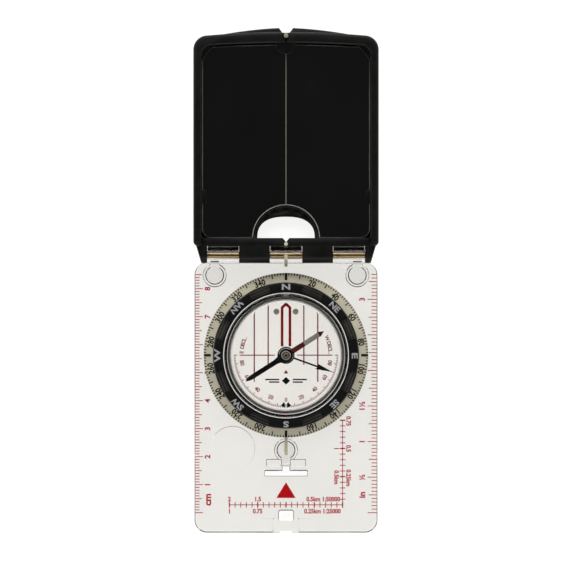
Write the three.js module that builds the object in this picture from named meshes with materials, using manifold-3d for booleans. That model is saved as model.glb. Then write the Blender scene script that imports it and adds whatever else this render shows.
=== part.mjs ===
// A baseplate compass with a mirror lid, opened flat. Millimetres, +Z up, +Y towards the lid end.
// The origin is the middle of the object's footprint, on the surface it lies on.
import * as THREE from "three";
import { mergeVertices } from "three/addons/utils/BufferGeometryUtils.js";
import Module from "manifold-3d";

// Driving sizes.
const PLATE_HALF_WIDTH = 32.7;
const PLATE_FRONT_Y = -89.95;
const PLATE_REAR_Y = 6.55;
const PLATE_BOTTOM_Z = 0.6;
const PLATE_TOP_Z = 3.6;
const HALF_LENGTH = 90.15;
const DIAL_Y = -26.55;
const HINGE_Y = 9.2;
const HINGE_Z = 9.0;
const KNUCKLE_RADIUS = 3.0;
const PIN_RADIUS = 1.1;
const LID_HALF_WIDTH = 32.9;
const LID_RIM_Z = 14.0;
const MIRROR_HALF_WIDTH = 29.95;
const MIRROR_Z = [3.8, 5.0];
const NEEDLE_ANGLE = 32.5;
const CLINOMETER_ANGLE = -19.8;
const SCREW_ANGLE = -45;
const MODULE = 0.36;
const RING_TEETH = 120;
const SCREW_TEETH = 8;

const RING_PITCH_RADIUS = (RING_TEETH * MODULE) / 2;
const SCREW_PITCH_RADIUS = (SCREW_TEETH * MODULE) / 2;
const SCREW_DISTANCE = RING_PITCH_RADIUS + SCREW_PITCH_RADIUS;
const RING_SIDES = 72;
const SMALL_SIDES = 24;
const PAST = 1; // how far a cut runs past the face it goes through

const wasm = await Module();
wasm.setup();

// Geometry in, manifold solid out: only positions count.
function solid(geometry) {
  const plain = geometry.index ? geometry.toNonIndexed() : geometry;
  const bare = new THREE.BufferGeometry().setAttribute("position", plain.getAttribute("position"));
  const merged = mergeVertices(bare, 1e-4);
  const mesh = new wasm.Mesh({
    numProp: 3,
    vertProperties: merged.attributes.position.array,
    triVerts: new Uint32Array(merged.index.array),
  });
  return new wasm.Manifold(mesh);
}

const radians = (degrees) => (degrees * Math.PI) / 180;
const join = (solids) => solids.reduce((all, next) => all.add(next));
const shapeOf = (points) => new THREE.Shape(points.map(([x, y]) => new THREE.Vector2(x, y)));

function block([x0, x1], [y0, y1], [z0, z1]) {
  const box = new THREE.BoxGeometry(x1 - x0, y1 - y0, z1 - z0);
  return solid(box.translate((x0 + x1) / 2, (y0 + y1) / 2, (z0 + z1) / 2));
}

// A flat shape raised from z0 to z1, turned by angle about the Z axis, then moved to (x, y).
function prism(shape, [z0, z1], { angle = 0, x = 0, y = 0, curveSegments = 12 } = {}) {
  const raised = new THREE.ExtrudeGeometry(shape, { depth: z1 - z0, bevelEnabled: false, curveSegments });
  return solid(raised.translate(0, 0, z0).rotateZ(radians(angle)).translate(x, y, 0));
}

// The same with its top and bottom edges rounded.
function roundedPrism(shape, [z0, z1], edge, bevelSegments = 2) {
  const raised = new THREE.ExtrudeGeometry(shape, {
    depth: z1 - z0 - 2 * edge,
    bevelThickness: edge,
    bevelSize: edge,
    bevelOffset: -edge,
    bevelSegments,
    curveSegments: 6,
  });
  return solid(raised.translate(0, 0, z0 + edge));
}

// A profile of [radius, z] turned about a vertical axis at (x, y). It runs anticlockwise in the (r, z) plane.
function turned(profile, { sides = RING_SIDES, x = 0, y = 0, closed = false, angle = 0 } = {}) {
  const points = (closed ? [...profile, profile[0]] : profile).map(([r, z]) => new THREE.Vector2(r, z));
  const round = new THREE.LatheGeometry(points, sides).rotateX(Math.PI / 2);
  return solid(round.rotateZ(radians(angle)).translate(x, y, 0));
}

const aboutDial = { y: DIAL_Y };
const disc = (r, [z0, z1], options = {}) =>
  turned([[0, z0], [r, z0], [r, z1], [0, z1]], { sides: SMALL_SIDES, ...options });
const ring = ([r0, r1], [z0, z1], options = {}) =>
  turned([[r0, z0], [r1, z0], [r1, z1], [r0, z1]], { closed: true, ...options });

// A round bar along X at the hinge line.
function hingeBar(r, [x0, x1], sides = SMALL_SIDES) {
  const bar = new THREE.CylinderGeometry(r, r, x1 - x0, sides).rotateZ(Math.PI / 2);
  return solid(bar.translate((x0 + x1) / 2, HINGE_Y, HINGE_Z));
}

// A rectangle in the XY plane with rounded corners, each with its own radius.
function roundedRectangle([x0, x1], [y0, y1], [rearRight, rearLeft, frontLeft, frontRight]) {
  const shape = new THREE.Shape();
  shape.moveTo(x0 + frontLeft, y0);
  shape.lineTo(x1 - frontRight, y0);
  shape.absarc(x1 - frontRight, y0 + frontRight, frontRight, -Math.PI / 2, 0);
  shape.absarc(x1 - rearRight, y1 - rearRight, rearRight, 0, Math.PI / 2);
  shape.absarc(x0 + rearLeft, y1 - rearLeft, rearLeft, Math.PI / 2, Math.PI);
  shape.absarc(x0 + frontLeft, y0 + frontLeft, frontLeft, Math.PI, Math.PI * 1.5);
  return shape;
}

// ---------------------------------------------------------------- baseplate

const KNUCKLES = [[-28, -16.8], [-5.65, 5.65], [16.8, 28]];
const LEG_Y = [6.2, 12.2];
const APERTURE_RADIUS = 24.8;
const COUNTERBORE = { r: 27.6, z: [PLATE_BOTTOM_Z - PAST, 1.9] };
const FEET = { foot_left: [-25.5, 2.0], foot_right: [25.5, 2.0], foot_front: [0, -60.55] };
const FOOT = { r: 3.0, neck: 1.45, top: 1.45, reach: 2 };
const FOOT_RECESS = { r: 3.15, neck: 1.55, top: 1.5, groove: [3.95, 4.25], grooveTop: 0.9 };
const LENS = { x: -19.1, y: -59.9, r: 7.9, rise: 0.6 };
const LATCH_SLOT = { halfWidth: 7.65, y: [-69.7, -67.9], gap: 1.25, gapRear: -66.5, thin: [-66.2, -63.7] };
const CORD_HOLE = { halfWidth: 2.55, y: [-85.8, -82.1] };
const BRIDGE = { halfWidth: 2.3, front: -89.5, z: [1.4, 2.6] };
const LUG = { x: [2.5, 4.6], y: [-HALF_LENGTH, -85] };
const FRONT_BAR = { halfWidth: 0.57, y: [-62.2, -54], z: [3.3, PLATE_TOP_Z] };
const REAR_BAR = { halfWidth: 0.55, top: 9.4, foot: 5.1, deep: 0.3, footZ: [3.65, 4.05] };

// The plano-convex magnifier lens: a shallow cap on the plate's top face.
function lensCap() {
  const { x, y, r, rise } = LENS;
  const steps = 4;
  const profile = [[0, PLATE_TOP_Z - 0.5], [r, PLATE_TOP_Z - 0.5]];
  for (let i = 0; i <= steps; i += 1) {
    const at = r * (1 - i / steps);
    profile.push([at, PLATE_TOP_Z + rise * (1 - (at / r) ** 2)]);
  }
  return turned(profile, { sides: 36, x, y });
}

// The side view (Y, Z) of the luminous strip that runs over the centre knuckle and down to the plate.
function rearBarSide(outerGap, innerGap) {
  const outer = KNUCKLE_RADIUS + outerGap;
  const inner = KNUCKLE_RADIUS - REAR_BAR.deep - innerGap;
  const arc = (r, steps = 8) => {
    const start = Math.acos((REAR_BAR.top + innerGap - HINGE_Y) / r);
    return Array.from({ length: steps + 1 }, (_, i) => {
      const a = start + ((Math.PI - start) * i) / steps;
      return [HINGE_Y + r * Math.cos(a), HINGE_Z + r * Math.sin(a)];
    });
  };
  const [footLow, footHigh] = REAR_BAR.footZ;
  const foot = [
    [HINGE_Y - outer, footHigh + 0.1],
    [REAR_BAR.foot, footHigh],
    [REAR_BAR.foot, footLow],
    [HINGE_Y - inner, footLow],
  ];
  return [...arc(outer), ...foot, ...arc(inner).reverse()];
}

// A (Y, Z) outline made as wide as x0 to x1.
function sideways(outline, [x0, x1]) {
  const wide = new THREE.ExtrudeGeometry(shapeOf(outline), { depth: x1 - x0, bevelEnabled: false });
  const standing = new THREE.Matrix4().set(
    0, 0, 1, x0,
    1, 0, 0, 0,
    0, 1, 0, 0,
    0, 0, 0, 1,
  );
  return solid(wide.applyMatrix4(standing));
}

function knuckle(x) {
  return join([
    hingeBar(KNUCKLE_RADIUS, x, 36),
    block(x, LEG_Y, [PLATE_BOTTOM_Z, HINGE_Z]),
    block(x, [5, LEG_Y[1]], [PLATE_BOTTOM_Z, PLATE_TOP_Z]),
  ]).subtract(hingeBar(PIN_RADIUS + 0.03, [x[0] - PAST, x[1] + PAST]));
}

// A foot's neck points away from the middle of the plate.
function neckSpan(y, radius) {
  return y > 0 ? [y, y + radius + FOOT.reach] : [y - radius - FOOT.reach, y];
}

function footRecess([x, y]) {
  const { r, neck, top, groove, grooveTop } = FOOT_RECESS;
  const below = PLATE_BOTTOM_Z - PAST;
  return join([
    disc(r, [below, top], { x, y }),
    ring(groove, [below, grooveTop], { sides: 36, x, y }),
    block([x - neck, x + neck], neckSpan(y, r), [below, top]),
  ]);
}

function foot([x, y]) {
  const { r, neck, top } = FOOT;
  return join([
    disc(r, [0, top], { x, y }),
    block([x - neck, x + neck], neckSpan(y, r), [PLATE_BOTTOM_Z, top]),
  ]);
}

function latchSlot() {
  const { halfWidth, y, gap, gapRear, thin } = LATCH_SLOT;
  const through = [PLATE_BOTTOM_Z - PAST, PLATE_TOP_Z + PAST];
  const thinZ = [PLATE_BOTTOM_Z - PAST, 2.0];
  return join([
    prism(roundedRectangle([-halfWidth, halfWidth], y, [0.3, 0.3, 0.6, 0.6]), through),
    block([-gap, gap], [y[1] - 0.1, gapRear], through),
    block([1.5, 7.1], thin, thinZ),
    block([-7.1, -1.5], thin, thinZ),
  ]);
}

function cordHole() {
  const { halfWidth, y } = CORD_HOLE;
  const through = [PLATE_BOTTOM_Z - PAST, PLATE_TOP_Z + PAST];
  const bridgeX = [-BRIDGE.halfWidth, BRIDGE.halfWidth];
  const front = [-HALF_LENGTH - PAST, y[0] + 0.1];
  return join([
    prism(roundedRectangle([-halfWidth, halfWidth], y, [0.8, 0.8, 0.1, 0.1]), through),
    block(bridgeX, [front[0], BRIDGE.front], through),
    block(bridgeX, front, [BRIDGE.z[1], PLATE_TOP_Z + PAST]),
    block(bridgeX, front, [PLATE_BOTTOM_Z - PAST, BRIDGE.z[0]]),
  ]);
}

function baseplate() {
  const outline = roundedRectangle(
    [-PLATE_HALF_WIDTH, PLATE_HALF_WIDTH], [PLATE_FRONT_Y, PLATE_REAR_Y], [5, 5, 4, 4]);
  const slab = roundedPrism(outline, [PLATE_BOTTOM_Z, PLATE_TOP_Z], 0.3, 1);
  const lugs = [-1, 1].map((side) => {
    const [x0, x1] = LUG.x.map((x) => x * side).sort((a, b) => a - b);
    return prism(roundedRectangle([x0, x1], LUG.y, [0.6, 0.6, 0.6, 0.6]), [PLATE_BOTTOM_Z, PLATE_TOP_Z]);
  });
  const thinnedFront = block([-9, 9], [-HALF_LENGTH - PAST, -85.2], [PLATE_TOP_Z - 0.25, PLATE_TOP_Z + PAST]);
  const solids = join([slab.subtract(thinnedFront), lensCap(), ...lugs, ...KNUCKLES.map(knuckle)]);
  const frontSlot = FRONT_BAR.halfWidth + 0.05;
  const frontSlotY = [FRONT_BAR.y[0] - 0.05, FRONT_BAR.y[1]];
  const rearSlot = REAR_BAR.halfWidth + 0.05;
  const cuts = join([
    disc(APERTURE_RADIUS, [PLATE_BOTTOM_Z - PAST, PLATE_TOP_Z + PAST], { ...aboutDial, sides: RING_SIDES }),
    disc(COUNTERBORE.r, COUNTERBORE.z, { ...aboutDial, sides: RING_SIDES }),
    ...Object.values(FEET).map(footRecess),
    latchSlot(),
    cordHole(),
    block([-frontSlot, frontSlot], frontSlotY, [FRONT_BAR.z[0] - 0.04, PLATE_TOP_Z + PAST]),
    sideways(rearBarSide(0.6, 0.05), [-rearSlot, rearSlot]),
  ]);
  return solids.subtract(cuts);
}

function indexBarRear() {
  return sideways(rearBarSide(0, 0), [-REAR_BAR.halfWidth, REAR_BAR.halfWidth]);
}

function indexBarFront() {
  const { halfWidth, y, z } = FRONT_BAR;
  return block([-halfWidth, halfWidth], [y[0], y[1] - 0.1], z);
}

// ---------------------------------------------------------------- bezel

const CORE_RADIUS = 24.6;
const GRIP_RADIUS = 26.0;
const GRIP_TOP_Z = 11.3;
const CAPSULE_BORE = 22.4;
const LIP_RADIUS = 21.2;
const PINION_Z = [6.8, 8.8];
const SCREW_X = SCREW_DISTANCE * Math.cos(radians(SCREW_ANGLE));
const SCREW_Y = DIAL_Y + SCREW_DISTANCE * Math.sin(radians(SCREW_ANGLE));
const atScrew = { x: SCREW_X, y: SCREW_Y };
const RECESS = { count: 8, first: 22.5, width: 7.6, topRadius: 23.1, bottomZ: 8.5 };

function degreeRing() {
  return turned(
    [[24.7, 3.9], [29.2, 3.9], [29.4, 4.1], [29.4, 4.5], [26.2, 6.65], [24.7, 6.65]],
    { closed: true, ...aboutDial });
}

// The sloping finger recess at one angle round the grip ring.
function gripRecess(angle) {
  const { width, topRadius, bottomZ } = RECESS;
  const above = GRIP_TOP_Z + 0.2;
  const outside = GRIP_RADIUS + 2;
  const slope = shapeOf([[topRadius, above], [GRIP_RADIUS, bottomZ], [outside, bottomZ], [outside, above]]);
  const cut = new THREE.ExtrudeGeometry(slope, { depth: width, bevelEnabled: false });
  cut.translate(0, 0, -width / 2).rotateX(Math.PI / 2);
  return solid(cut.rotateZ(radians(angle)).translate(0, DIAL_Y, 0));
}

function gripRing() {
  const body = turned([
    [22.2, 1.7], [CORE_RADIUS, 1.7], [CORE_RADIUS, 6.7], [GRIP_RADIUS, 6.7], [GRIP_RADIUS, 10.6],
    [25.3, GRIP_TOP_Z], [CAPSULE_BORE, GRIP_TOP_Z], [CAPSULE_BORE, 5.8], [LIP_RADIUS, 5.8],
    [LIP_RADIUS, 4.4], [22.2, 4.4],
  ], { closed: true, ...aboutDial });
  const recesses = Array.from({ length: RECESS.count }, (_, i) =>
    gripRecess(RECESS.first + (i * 360) / RECESS.count));
  const screwBore = disc(0.78, [1, 7], atScrew);
  const pinionPocket = disc(1.9, [PINION_Z[0] - 0.1, PINION_Z[1] + 0.2], atScrew);
  return body.subtract(join([...recesses, screwBore, pinionPocket]));
}

function retainingRing() {
  return ring([21, 27.3], [0.7, 1.65], aboutDial).subtract(disc(1.45, [0, 3], atScrew));
}

// ---------------------------------------------------------------- capsule

function capsuleDome() {
  return turned([
    [0, 10.3], [19.2, 10.1], [19.75, 9.6], [19.75, 4.42], [20.8, 4.42], [20.8, 9.4], [22.1, 9.4],
    [22.1, 11], [21.2, 11.4], [14, 11.65], [7, 11.8], [0, 11.85],
  ], aboutDial);
}

function capsuleFloor() {
  return turned([
    [0, 3], [21.9, 3], [21.9, 4], [2.48, 4], [2.48, 5.9], [0.65, 5.9], [0.65, 4.3], [0, 4.3],
  ], aboutDial);
}

const TOOTH = { tip: 0.3, root: 0.42 };

// The outline of a spur gear: each tooth is a trapezoid, halfTip and halfRoot its half widths in degrees.
function gearOutline(teeth, pitchRadius, halfRoot, halfTip, first) {
  const points = [];
  for (let i = 0; i < teeth; i += 1) {
    const centre = first + (i * 360) / teeth;
    const flank = [[halfTip, TOOTH.tip], [halfRoot, -TOOTH.root]];
    const corners = [...flank.map(([turn, rise]) => [-turn, rise]).reverse(), ...flank];
    for (const [turn, rise] of corners) {
      const a = radians(centre + turn);
      const r = pitchRadius + rise;
      points.push([r * Math.cos(a), r * Math.sin(a)]);
    }
  }
  return shapeOf(points);
}

const RING_PITCH_ANGLE = 360 / RING_TEETH;
const SCREW_PITCH_ANGLE = 360 / SCREW_TEETH;

// A ring tooth points straight at the screw, and a screw gap straight at the ring.
function gearRing() {
  const outline = gearOutline(
    RING_TEETH, RING_PITCH_RADIUS, RING_PITCH_ANGLE * 0.3, RING_PITCH_ANGLE * 0.13, SCREW_ANGLE);
  const band = prism(outline, [6.75, 9], aboutDial);
  return band.subtract(disc(20.9, [6, 10], { ...aboutDial, sides: RING_SIDES }));
}

function declinationScrew() {
  const outline = gearOutline(
    SCREW_TEETH, SCREW_PITCH_RADIUS, SCREW_PITCH_ANGLE * 0.28, SCREW_PITCH_ANGLE * 0.08,
    SCREW_ANGLE + 180 + SCREW_PITCH_ANGLE / 2);
  const slot = block([SCREW_X - 2, SCREW_X + 2], [SCREW_Y - 0.2, SCREW_Y + 0.2], [0, 1.2]);
  return join([
    prism(outline, PINION_Z, atScrew),
    disc(0.7, [1.5, PINION_Z[0] + 0.1], atScrew),
    disc(1.3, [0.75, 1.6], atScrew),
  ]).subtract(slot);
}

const capsuleDot = (x) => disc(1.05, [4.03, 4.3], { x, y: DIAL_Y + 15.5 });
const capsuleIndex = () => prism(
  shapeOf([[-0.8, 20.95], [0.8, 20.95], [1.1, 21.9], [-1.1, 21.9]]), [9.02, 9.35], aboutDial);
const pivotPost = () => turned([[0, 4.35], [0.6, 4.35], [0.6, 6.9], [0, 7.85]], { sides: 16, ...aboutDial });

// ---------------------------------------------------------------- needle and clinometer

const HUB = { hole: 1.6, r: 2.05 };

const NEEDLE_Z = [7.45, 8];
const alongNeedle = { angle: NEEDLE_ANGLE, y: DIAL_Y };

// A closed outline from one long edge: the other edge is its mirror image in the X axis.
function symmetric(edge) {
  const others = edge.filter(([, y]) => y !== 0).map(([x, y]) => [x, -y]).reverse();
  return shapeOf([...edge, ...others]);
}

function flatWithHub(outline, z, hubRadius) {
  const hub = disc(hubRadius, z, aboutDial);
  const hole = disc(HUB.hole, [z[0] - PAST, z[1] + PAST], aboutDial);
  return prism(outline, z, alongNeedle).add(hub).subtract(hole);
}

function needleSouth() {
  const edge = [[0, 1.3], [-3, 1.0], [-7, 0.85], [-14.5, 0.85], [-17.1, 0]];
  return flatWithHub(symmetric(edge), NEEDLE_Z, HUB.r);
}

function needleNorth() {
  const edge = [[16, 0], [13.9, 1.05], [13.9, 0.85], [7, 0.85], [2.2, 0.95]];
  return prism(symmetric(edge), NEEDLE_Z, alongNeedle);
}

function needleLume() {
  const strip = roundedRectangle([7.7, 13.8], [-0.8, 0.8], [0.1, 0.1, 0.1, 0.1]);
  return prism(strip, [8.02, 8.2], { ...alongNeedle, curveSegments: 2 });
}

const needleMagnet = () => flatWithHub(symmetric([[11, 0.7], [-11, 0.7]]), [6.5, 7.4], 2);
const jewelCup = () => turned(
  [[0.75, 7], [1.5, 7], [1.5, 8.4], [1.3, 8.6], [0.75, 8.6]], { closed: true, sides: 24, ...aboutDial });

function clinometerPointer() {
  const z = [4.7, 5.3];
  const along = { angle: CLINOMETER_ANGLE, y: DIAL_Y };
  const edge = [[17.8, 0], [13.6, 0.5], [11.4, 1.075], [11.9, 0.3], [2.8, 0.3]];
  return prism(symmetric(edge), z, along).add(ring([2.56, 3.06], [4.6, 5.4], { ...aboutDial, sides: 48 }));
}

// ---------------------------------------------------------------- lid

const LID_BARRELS = [[-16.7, -5.75], [5.75, 16.7]];
const LID_EAR_X = 28.1;
const LID_REAR_Y = 12.4;
const LID_BAR = { y: [LID_REAR_Y, 15.2], z: [0, 12] };
const LID_FLOOR_Z = 2.2;
const TRAY = { halfWidth: 30.2, far: 84.9 };
const WINDOW = { halfWidth: 10.25, y: 15.3, far: 22.9, surround: 11.55 };
const BARREL_RADIUS = 2.9;
const BARREL_Z = [HINGE_Z - BARREL_RADIUS, HINGE_Z + BARREL_RADIUS];
const CLIP_Z = [MIRROR_Z[1] + 0.06, 7];
const LIP_Z = 8;
const LIP = { halfWidth: 29, near: 84, ends: 86.8, bend: 14 };
const LIP_TIP_Y = HALF_LENGTH + 0.045; // the notch takes the very tip away

// A plan with rounded corners whose far edge is a shallow arch, drop higher in the middle than at its ends.
function archedPlan(halfWidth, nearY, farY, drop, farCorner, nearCorner) {
  const shape = new THREE.Shape();
  const shoulder = farY - drop;
  const nearX = halfWidth - nearCorner;
  shape.moveTo(-nearX, nearY);
  shape.lineTo(nearX, nearY);
  shape.absarc(nearX, nearY + nearCorner, nearCorner, -Math.PI / 2, 0);
  shape.lineTo(halfWidth, shoulder - farCorner);
  shape.absarc(halfWidth - farCorner, shoulder - farCorner, farCorner, 0, Math.PI / 2);
  shape.quadraticCurveTo(0, farY + drop, -halfWidth + farCorner, shoulder);
  shape.absarc(-halfWidth + farCorner, shoulder - farCorner, farCorner, Math.PI / 2, Math.PI);
  shape.lineTo(-halfWidth, nearY + nearCorner);
  shape.absarc(-nearX, nearY + nearCorner, nearCorner, Math.PI, Math.PI * 1.5);
  return shape;
}

// The half ellipse of the sighting window, with its V notch, as a plan.
function windowPlan() {
  const { halfWidth, y, far } = WINDOW;
  const points = [[0, 13.8], [1.25, y]];
  const steps = 20;
  const fullness = 0.8; // squares the arch a little, so that it meets the bar steeply
  for (let i = 0; i <= steps; i += 1) {
    const a = (Math.PI * i) / steps;
    points.push([halfWidth * Math.sign(Math.cos(a)) * Math.abs(Math.cos(a)) ** fullness,
      y + (far - y) * Math.sin(a) ** fullness]);
  }
  points.push([-1.25, y]);
  return shapeOf(points);
}

// The same plan on the right for side 1, or mirrored on the left for side -1.
function onSide(points, side) {
  return shapeOf(side > 0 ? points : points.map(([x, y]) => [-x, y]).reverse());
}

// The ear that carries one end barrel.
function lidEar(side) {
  const plan = [[LID_EAR_X, 6.3], [30.1, 6.3], [31.6, 11.5], [32.5, 13.7], [LID_EAR_X, 13.7]];
  const span = side > 0 ? [LID_EAR_X - 0.5, 34] : [-34, -LID_EAR_X + 0.5];
  const rounding = hingeBar(BARREL_RADIUS, span, 36).add(block(span, [HINGE_Y, 15], BARREL_Z));
  return prism(onSide(plan, side), BARREL_Z).intersect(rounding);
}

function lidWalls() {
  const rimPlan = archedPlan(LID_HALF_WIDTH, LID_REAR_Y, 88.3, 1.2, 5, 1.6);
  const trayPlan = archedPlan(TRAY.halfWidth, LID_BAR.y[1], TRAY.far, 0.8, 4, 1.5);
  const tray = prism(trayPlan, [LID_FLOOR_Z, LID_RIM_Z + PAST]);
  const aboveBar = block(
    [-TRAY.halfWidth, TRAY.halfWidth],
    [LID_REAR_Y - PAST, LID_BAR.y[1] + 0.1],
    [LID_BAR.z[1], LID_RIM_Z + PAST]);
  const lip = new THREE.Shape();
  lip.moveTo(-LIP.halfWidth, LIP.near);
  lip.lineTo(LIP.halfWidth, LIP.near);
  lip.lineTo(LIP.halfWidth, LIP.ends);
  lip.quadraticCurveTo(LIP.bend, LIP_TIP_Y, 0, LIP_TIP_Y);
  lip.quadraticCurveTo(-LIP.bend, LIP_TIP_Y, -LIP.halfWidth, LIP.ends);
  return roundedPrism(rimPlan, [0, LID_RIM_Z], 0.8)
    .add(roundedPrism(lip, [0, LIP_Z], 0.6))
    .subtract(tray.add(aboveBar));
}

// The tabs over the mirror's edges: one on each side, one in each far corner and one in the middle.
function mirrorClips() {
  const gusset = [[24.6, 85.6], [24.9, 84], [28.2, 81], [30, 78], [30.7, 77.9], [30.7, 85.2]];
  const sideTab = [[28.55, 27.6], [30.6, 27.6], [30.6, 32.4], [28.55, 32.4]];
  const clips = [-1, 1].flatMap((side) => [
    prism(onSide(gusset, side), CLIP_Z),
    prism(onSide(sideTab, side), [CLIP_Z[0], 6.2]),
  ]);
  const centreRadius = 3.3;
  clips.push(disc(centreRadius, CLIP_Z, { sides: 32, y: 84.3 }));
  clips.push(block([-centreRadius, centreRadius], [84.2, 85.6], CLIP_Z));
  return clips;
}

function lidShell() {
  const surround = disc(WINDOW.surround, [LID_FLOOR_Z - 0.2, MIRROR_Z[1]], { sides: 64, y: LID_BAR.y[1] })
    .subtract(block([-20, 20], [0, LID_BAR.y[1] - 0.4], [0, 10]));
  const barrels = LID_BARRELS.flatMap((x) => [
    hingeBar(BARREL_RADIUS, x, 36),
    block(x, [HINGE_Y, LID_REAR_Y + 0.5], BARREL_Z),
  ]);
  const shell = join([lidWalls(), surround, ...mirrorClips(), ...barrels, lidEar(1), lidEar(-1)]);

  const through = [-PAST, LID_RIM_Z + PAST];
  const lipNotch = [[2.75, 90.4], [-2.75, 90.4], [-1.3, 88.35], [1.3, 88.35]];
  const wallNotch = [[0, 84.6], [1.3, 86.4], [1.3, 88.6], [-1.3, 88.6], [-1.3, 86.4]];
  const cuts = join([
    prism(windowPlan(), through),
    hingeBar(PIN_RADIUS + 0.07, [-31, 31]),
    prism(shapeOf(lipNotch), through),
    prism(shapeOf(wallNotch), [LIP_Z, LID_RIM_Z + PAST]),
  ]);
  return shell.subtract(cuts);
}

// The mirror's plan, or the tape's, set in by inset all round.
function mirrorSolid(inset, z) {
  const plan = archedPlan(MIRROR_HALF_WIDTH - inset, 15.3 + inset, 84.3 - inset, 0.8, 4.5, 3.3);
  const arch = disc(11.8 + inset, [z[0] - PAST, z[1] + PAST], { sides: 64, y: LID_BAR.y[1] });
  return prism(plan, z).subtract(arch);
}

const lidDotNear = () => disc(0.68, [LID_BAR.z[1] + 0.01, LID_BAR.z[1] + 0.16], { y: 13.1 });
const lidDotFar = () => disc(0.85, [LIP_Z + 0.01, LIP_Z + 0.2], { y: 87.35 });

// ---------------------------------------------------------------- assembly

const CLEAR = 0xeeede8;
const BLACK = 0x1b1b1c;
const LUME = 0xc3bda3;
const BRASS = 0xa58a55;
const RED = 0x7a1c1c;
const STEEL = 0x9a9ca0;

const NODES = {
  baseplate: [baseplate(), CLEAR],
  hinge_pin: [hingeBar(PIN_RADIUS, [-29.6, 29.6]), BRASS],
  ...Object.fromEntries(Object.entries(FEET).map(([name, at]) => [name, [foot(at), 0xd8d8d4]])),
  index_bar_rear: [indexBarRear(), LUME],
  index_bar_front: [indexBarFront(), LUME],
  degree_ring: [degreeRing(), LUME],
  grip_ring: [gripRing(), BLACK],
  retaining_ring: [retainingRing(), BLACK],
  scale_disc: [disc(22.1, [1.7, 2.7], { ...aboutDial, sides: RING_SIDES }), CLEAR],
  capsule_dome: [capsuleDome(), CLEAR],
  capsule_floor: [capsuleFloor(), CLEAR],
  capsule_seal: [ring([19.8, 20.75], [4.02, 4.4], aboutDial), 0x8d8d8a],
  declination_gear_ring: [gearRing(), BLACK],
  dot_left: [capsuleDot(-3.4), LUME],
  dot_right: [capsuleDot(3.4), LUME],
  capsule_index: [capsuleIndex(), LUME],
  pivot_post: [pivotPost(), STEEL],
  clinometer_pointer: [clinometerPointer(), BLACK],
  needle_north: [needleNorth(), RED],
  needle_lume: [needleLume(), LUME],
  needle_south: [needleSouth(), BLACK],
  needle_magnet: [needleMagnet(), STEEL],
  jewel_cup: [jewelCup(), BRASS],
  jewel: [disc(0.7, [7.9, 8.5], aboutDial), 0xb0b0b8],
  declination_screw: [declinationScrew(), BRASS],
  lid_shell: [lidShell(), BLACK],
  mirror: [mirrorSolid(0, MIRROR_Z), 0x40464a],
  mirror_tape: [mirrorSolid(1.6, [LID_FLOOR_Z + 0.03, MIRROR_Z[0] - 0.03]), 0xe0e0dc],
  lid_dot_near: [lidDotNear(), LUME],
  lid_dot_far: [lidDotFar(), LUME],
};

function meshOf(name, made, color) {
  const { numProp, vertProperties, triVerts } = made.getMesh();
  const positions = new Float32Array((vertProperties.length / numProp) * 3);
  for (let i = 0; i * numProp < vertProperties.length; i += 1) {
    positions.set(vertProperties.subarray(i * numProp, i * numProp + 3), i * 3);
  }
  const geometry = new THREE.BufferGeometry()
    .setAttribute("position", new THREE.BufferAttribute(positions, 3))
    .setIndex(new THREE.BufferAttribute(triVerts, 1));
  geometry.computeVertexNormals();
  const mesh = new THREE.Mesh(geometry, new THREE.MeshStandardMaterial({ color }));
  mesh.name = name;
  return mesh;
}

const compass = new THREE.Group();
for (const [name, [made, color]] of Object.entries(NODES)) {
  compass.add(meshOf(name, made, color));
}

export default compass;
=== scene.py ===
"""Looks for a baseplate compass with a mirror lid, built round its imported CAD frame.

Sizes are in millimetres and become metres only when a mesh is made. Places come from the frame's nodes.
"""

import math

import bmesh
import bpy
from mathutils import Euler, Matrix, Vector


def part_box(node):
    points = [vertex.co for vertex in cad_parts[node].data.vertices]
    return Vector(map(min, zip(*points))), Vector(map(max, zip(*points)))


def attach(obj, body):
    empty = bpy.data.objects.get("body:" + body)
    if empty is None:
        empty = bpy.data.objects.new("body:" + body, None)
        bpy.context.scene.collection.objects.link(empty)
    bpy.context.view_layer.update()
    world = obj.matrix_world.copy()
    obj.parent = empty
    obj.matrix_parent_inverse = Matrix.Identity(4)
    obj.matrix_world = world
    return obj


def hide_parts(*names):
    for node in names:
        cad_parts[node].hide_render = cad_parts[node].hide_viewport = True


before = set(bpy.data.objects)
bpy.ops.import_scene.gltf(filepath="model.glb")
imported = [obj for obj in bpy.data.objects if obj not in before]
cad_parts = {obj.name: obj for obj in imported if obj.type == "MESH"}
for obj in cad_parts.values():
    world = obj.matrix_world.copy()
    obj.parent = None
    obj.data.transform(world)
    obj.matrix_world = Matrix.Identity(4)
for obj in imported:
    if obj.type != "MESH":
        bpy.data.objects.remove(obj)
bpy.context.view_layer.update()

MM = 0.001


def mm_box(node):
    """Lowest and highest corners of a CAD node, in millimetres."""
    low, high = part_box(node)
    return low / MM, high / MM


# ---- places, from the frame

plate_low, plate_high = mm_box("baseplate")
ring_low, ring_high = mm_box("degree_ring")
pin_low, pin_high = mm_box("hinge_pin")
lid_high = mm_box("lid_shell")[1]
mirror_low, mirror_high = mm_box("mirror")
front_bar_low, front_bar_high = mm_box("index_bar_front")

PLATE_BOTTOM = plate_low.z
PLATE_TOP = front_bar_high.z
PLATE_HALF_WIDTH = plate_high.x
FRONT_END = plate_low.y
DIAL_Y = (ring_low.y + ring_high.y) / 2
RING_RADIUS = ring_high.x
HINGE_Y = (pin_low.y + pin_high.y) / 2
HINGE_Z = (pin_low.z + pin_high.z) / 2
PIN_RADIUS = (pin_high.y - pin_low.y) / 2
KNUCKLE_RADIUS = plate_high.z - HINGE_Z
GRIP_RADIUS = mm_box("grip_ring")[1].x
GRIP_TOP = mm_box("grip_ring")[1].z
RIM_Z = lid_high.z
MIRROR_TOP = mirror_high.z

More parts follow.
